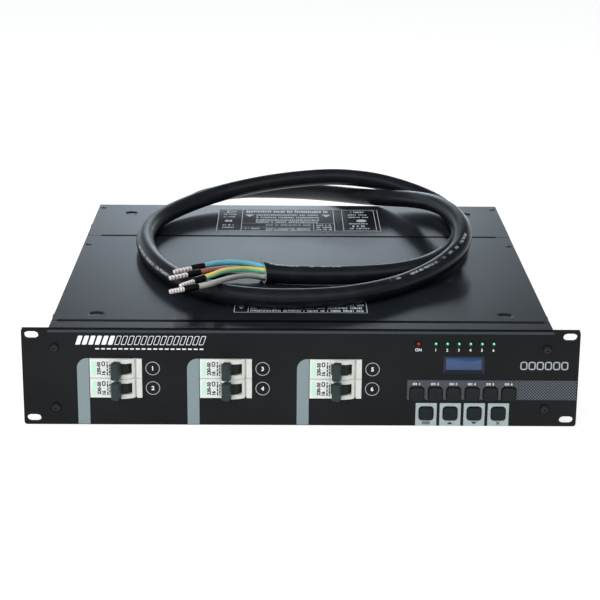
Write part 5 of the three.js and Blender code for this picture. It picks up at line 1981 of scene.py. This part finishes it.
    def build_fan(self) -> None:
        """Makes the fan's frame and its rotor, which turns on its own body."""
        refined("fan_frame", "fan_housing", FAN_PLASTIC, 0.4)
        low, high = node_low("fan_rotor"), node_high("fan_rotor")
        frame_low, frame_high = node_low("fan_frame"), node_high("fan_frame")
        middle = (frame_low + frame_high) / 2
        front = frame_low[1] + 3.3
        depth = high[1] - front
        hub = turned([(2.0, -3.3), (2.0, 0.0), (12.6, 0.0), (13.0, 0.4), (13.0, depth - 0.8),
                      (12.2, depth), (3.0, depth), (2.6, depth - 0.4)], 48)
        rotor = hub + self.blades(12.5, (high[0] - low[0]) / 2 - 1.0, depth - 2.4).moved(z=0.6)
        axes = np.array([[1, 0, 0], [0, 0, -1], [0, 1, 0]], float)
        rotor = rotor.mapped(axes, (middle[0], front, middle[2]))
        publish("fan_rotor_blades", rotor, FAN_PLASTIC, "rotor", ["fan_rotor"], crease=40)


@dataclass
class Studio:
    """White floor and backdrop, soft lamps and the camera at the photograph's angle.

    The eye is in millimetres with y counted from the panel's front face, the angles are in radians, and the
    floor's half size and drop are in metres.
    """

    focal_pixels: float = 1722.04
    frame_pixels: float = 600.0
    eye: tuple[float, float, float] = (-15.09, -1408.1, 551.93)
    yaw: float = 0.0098
    pitch: float = 0.3010
    roll: float = 0.0080
    floor_half: float = 6.0
    floor_drop: float = 0.0004

    def camera(self) -> None:
        """Camera whose axes come from its yaw, downward pitch and roll."""
        data = bpy.data.cameras.new("camera")
        data.sensor_width = 36.0
        data.lens = self.focal_pixels * data.sensor_width / self.frame_pixels
        data.clip_end = 50.0
        camera = linked("camera", data)
        level = math.cos(self.pitch)
        forward = Vector((math.sin(self.yaw) * level, math.cos(self.yaw) * level, -math.sin(self.pitch)))
        right = Vector((math.cos(self.yaw), -math.sin(self.yaw), 0.0))
        upward = right.cross(forward)
        tilted = math.cos(self.roll) * right + math.sin(self.roll) * upward
        over = -math.sin(self.roll) * right + math.cos(self.roll) * upward
        turn = Matrix((tilted, over, -forward)).transposed().to_4x4()
        place = Vector(self.eye) * MM + Vector((0.0, FRONT_Y * MM, 0.0))
        camera.matrix_world = Matrix.Translation(place) @ turn
        bpy.context.scene.camera = camera

    def floor(self) -> None:
        """White floor that glows for the rays that look at it and keeps a part of the pack's shadow."""
        mesh = bpy.data.meshes.new("floor")
        corners = [(x * self.floor_half, y * self.floor_half, -self.floor_drop)
                   for x, y in ((-1, -1), (1, -1), (1, 1), (-1, 1))]
        mesh.from_pydata(corners, [], [(0, 1, 2, 3)])
        floor = linked("floor", mesh)
        material = bpy.data.materials.new("floor_white")
        material.use_nodes = True
        shader = Shader(material.node_tree)
        looked_at = self._looked_at(shader)
        plain = shader.node("BsdfDiffuse", inputs={"Color": (0.8, 0.8, 0.8, 1)})
        veil = shader.node("BsdfDiffuse", inputs={"Color": (0.35, 0.35, 0.35, 1)})
        glow = shader.node("Emission", inputs={"Color": (1, 1, 1, 1), "Strength": 0.75})
        shown = shader.node("AddShader", inputs={0: glow, 1: veil})
        mixed = shader.node("MixShader", inputs={0: looked_at, 1: plain, 2: shown})
        shader.show(mixed)
        mesh.materials.append(material)

    @staticmethod
    def _looked_at(shader: Shader) -> Expression:
        """1 for rays from the camera, off gloss or through glass."""
        first = shader.node("LightPath", output="Is Camera Ray")
        outputs = first.socket.node.outputs
        glossy = Expression(shader, outputs["Is Glossy Ray"])
        through = Expression(shader, outputs["Is Transmission Ray"])
        return first.maths("MAXIMUM", glossy).maths("MAXIMUM", through)

    def world(self) -> None:
        """White for the camera, and for the rest a low glow behind the pack and a broad soft light before it.

        The light in front is dimmer in reflections, as if it came from many small lamps. Reflections also
        show a brighter glow, a low bright wall at either side of it, and a soft panel over the camera. The
        directions run from -1 to 1: across to the right, back away from the camera, and rise upwards.
        """
        world = bpy.data.worlds.new("studio")
        bpy.context.scene.world = world
        world.use_nodes = True
        shader = Shader(world.node_tree)
        seen = shader.node("LightPath", output="Is Camera Ray")
        outputs = seen.socket.node.outputs
        white = seen.maths("MAXIMUM", Expression(shader, outputs["Is Transmission Ray"]))
        gloss = Expression(shader, outputs["Is Glossy Ray"])
        across, back, rise = shader.parts(shader.node("TexCoord", output="Generated"))
        front = 1 - back.ramp(-0.6, 0.3)
        low = 1 - rise.ramp(0.24, 0.34)
        aside = across.maths("ABSOLUTE")
        middle = 1 - aside.ramp(0.0, 0.19)
        right = across.ramp(-0.05, 0.3)
        sides = 0.32 - aside.ramp(0.17, 0.22) * rise.ramp(0.08, 0.2) * 0.27
        behind = (1 - front) * low * (middle * 1.25 + sides) * (1 - right * 0.35) * (1 + gloss)
        beside = aside.ramp(0.15, 0.25) * (1 - aside.ramp(0.36, 0.48)) * back.ramp(0.0, 0.3)
        beside = beside * rise.ramp(-0.15, 0.0) * (1 - rise.ramp(0.08, 0.18))
        beside = beside * (across.ramp(-0.1, 0.1) * 1.8 + 0.9)
        above = rise.ramp(0.35, 0.5) * (1 - rise.ramp(0.7, 0.9)) * front
        ahead = front * (0.7 - gloss * 0.6) + 0.22 - gloss * 0.1 + gloss * (beside + above * 0.75)
        cool = shader.mix(behind.ramp(0.0, 0.6), (0.95, 0.98, 1.0, 1), (0.82, 0.94, 1.05, 1))
        tint = shader.mix(white, cool, (1, 1, 1, 1))
        strength = white.maths("MAXIMUM", behind + ahead)
        shader.show(shader.node("Background", inputs={"Color": tint, "Strength": strength}), "OutputWorld")

    def lamp(self, name: str, place: Sequence[float], target: Sequence[float], size: tuple[float, float],
             power: float, shiny: bool = True) -> None:
        """Soft rectangular lamp that the camera doesn't see.

        Args:
            name: the lamp's name.
            place: where it hangs, in metres.
            target: the point that it faces.
            size: its width and height, in metres.
            power: its power, in watts.
            shiny: whether reflections show it.
        """
        data = bpy.data.lights.new(name, "AREA")
        data.shape = "RECTANGLE"
        data.size, data.size_y = size
        data.energy = power
        lamp = linked(name, data)
        lamp.location = place
        lamp.rotation_euler = (Vector(target) - Vector(place)).to_track_quat("-Z", "Y").to_euler()
        lamp.visible_camera = False
        lamp.visible_glossy = shiny

    def build(self) -> None:
        """Makes the camera, floor, world and lamps."""
        bpy.context.scene.view_settings.view_transform = "Standard"
        self.camera()
        self.floor()
        self.world()
        self.lamp("overhead", (-0.3, 0.1, 2.2), (0, 0, 0), (1.6, 1.6), 26, shiny=False)
        self.lamp("key", (-1.3, -2.2, 1.5), (0, 0, 0.05), (1.0, 1.0), 36, shiny=False)


def dress_inside() -> None:
    """Finishes for the pieces inside the case, which keep the frame's shapes."""
    dress("power_board", CIRCUIT_BOARD)
    dress("triac_heat_sink", ALUMINIUM)


def main() -> None:
    """Builds the studio, the lead and the pack's sub-assemblies in order."""
    logging.basicConfig(level=logging.INFO, format="%(name)s: %(message)s")
    Studio().build()
    for assembly in (MainsLead(), FrontPanel(), Breakers(), ControlArea(), Case(), RearConnections()):
        LOG.info("building %s", type(assembly).__name__)
        assembly.build()
    dress_inside()


if __name__ == "__main__":
    main()
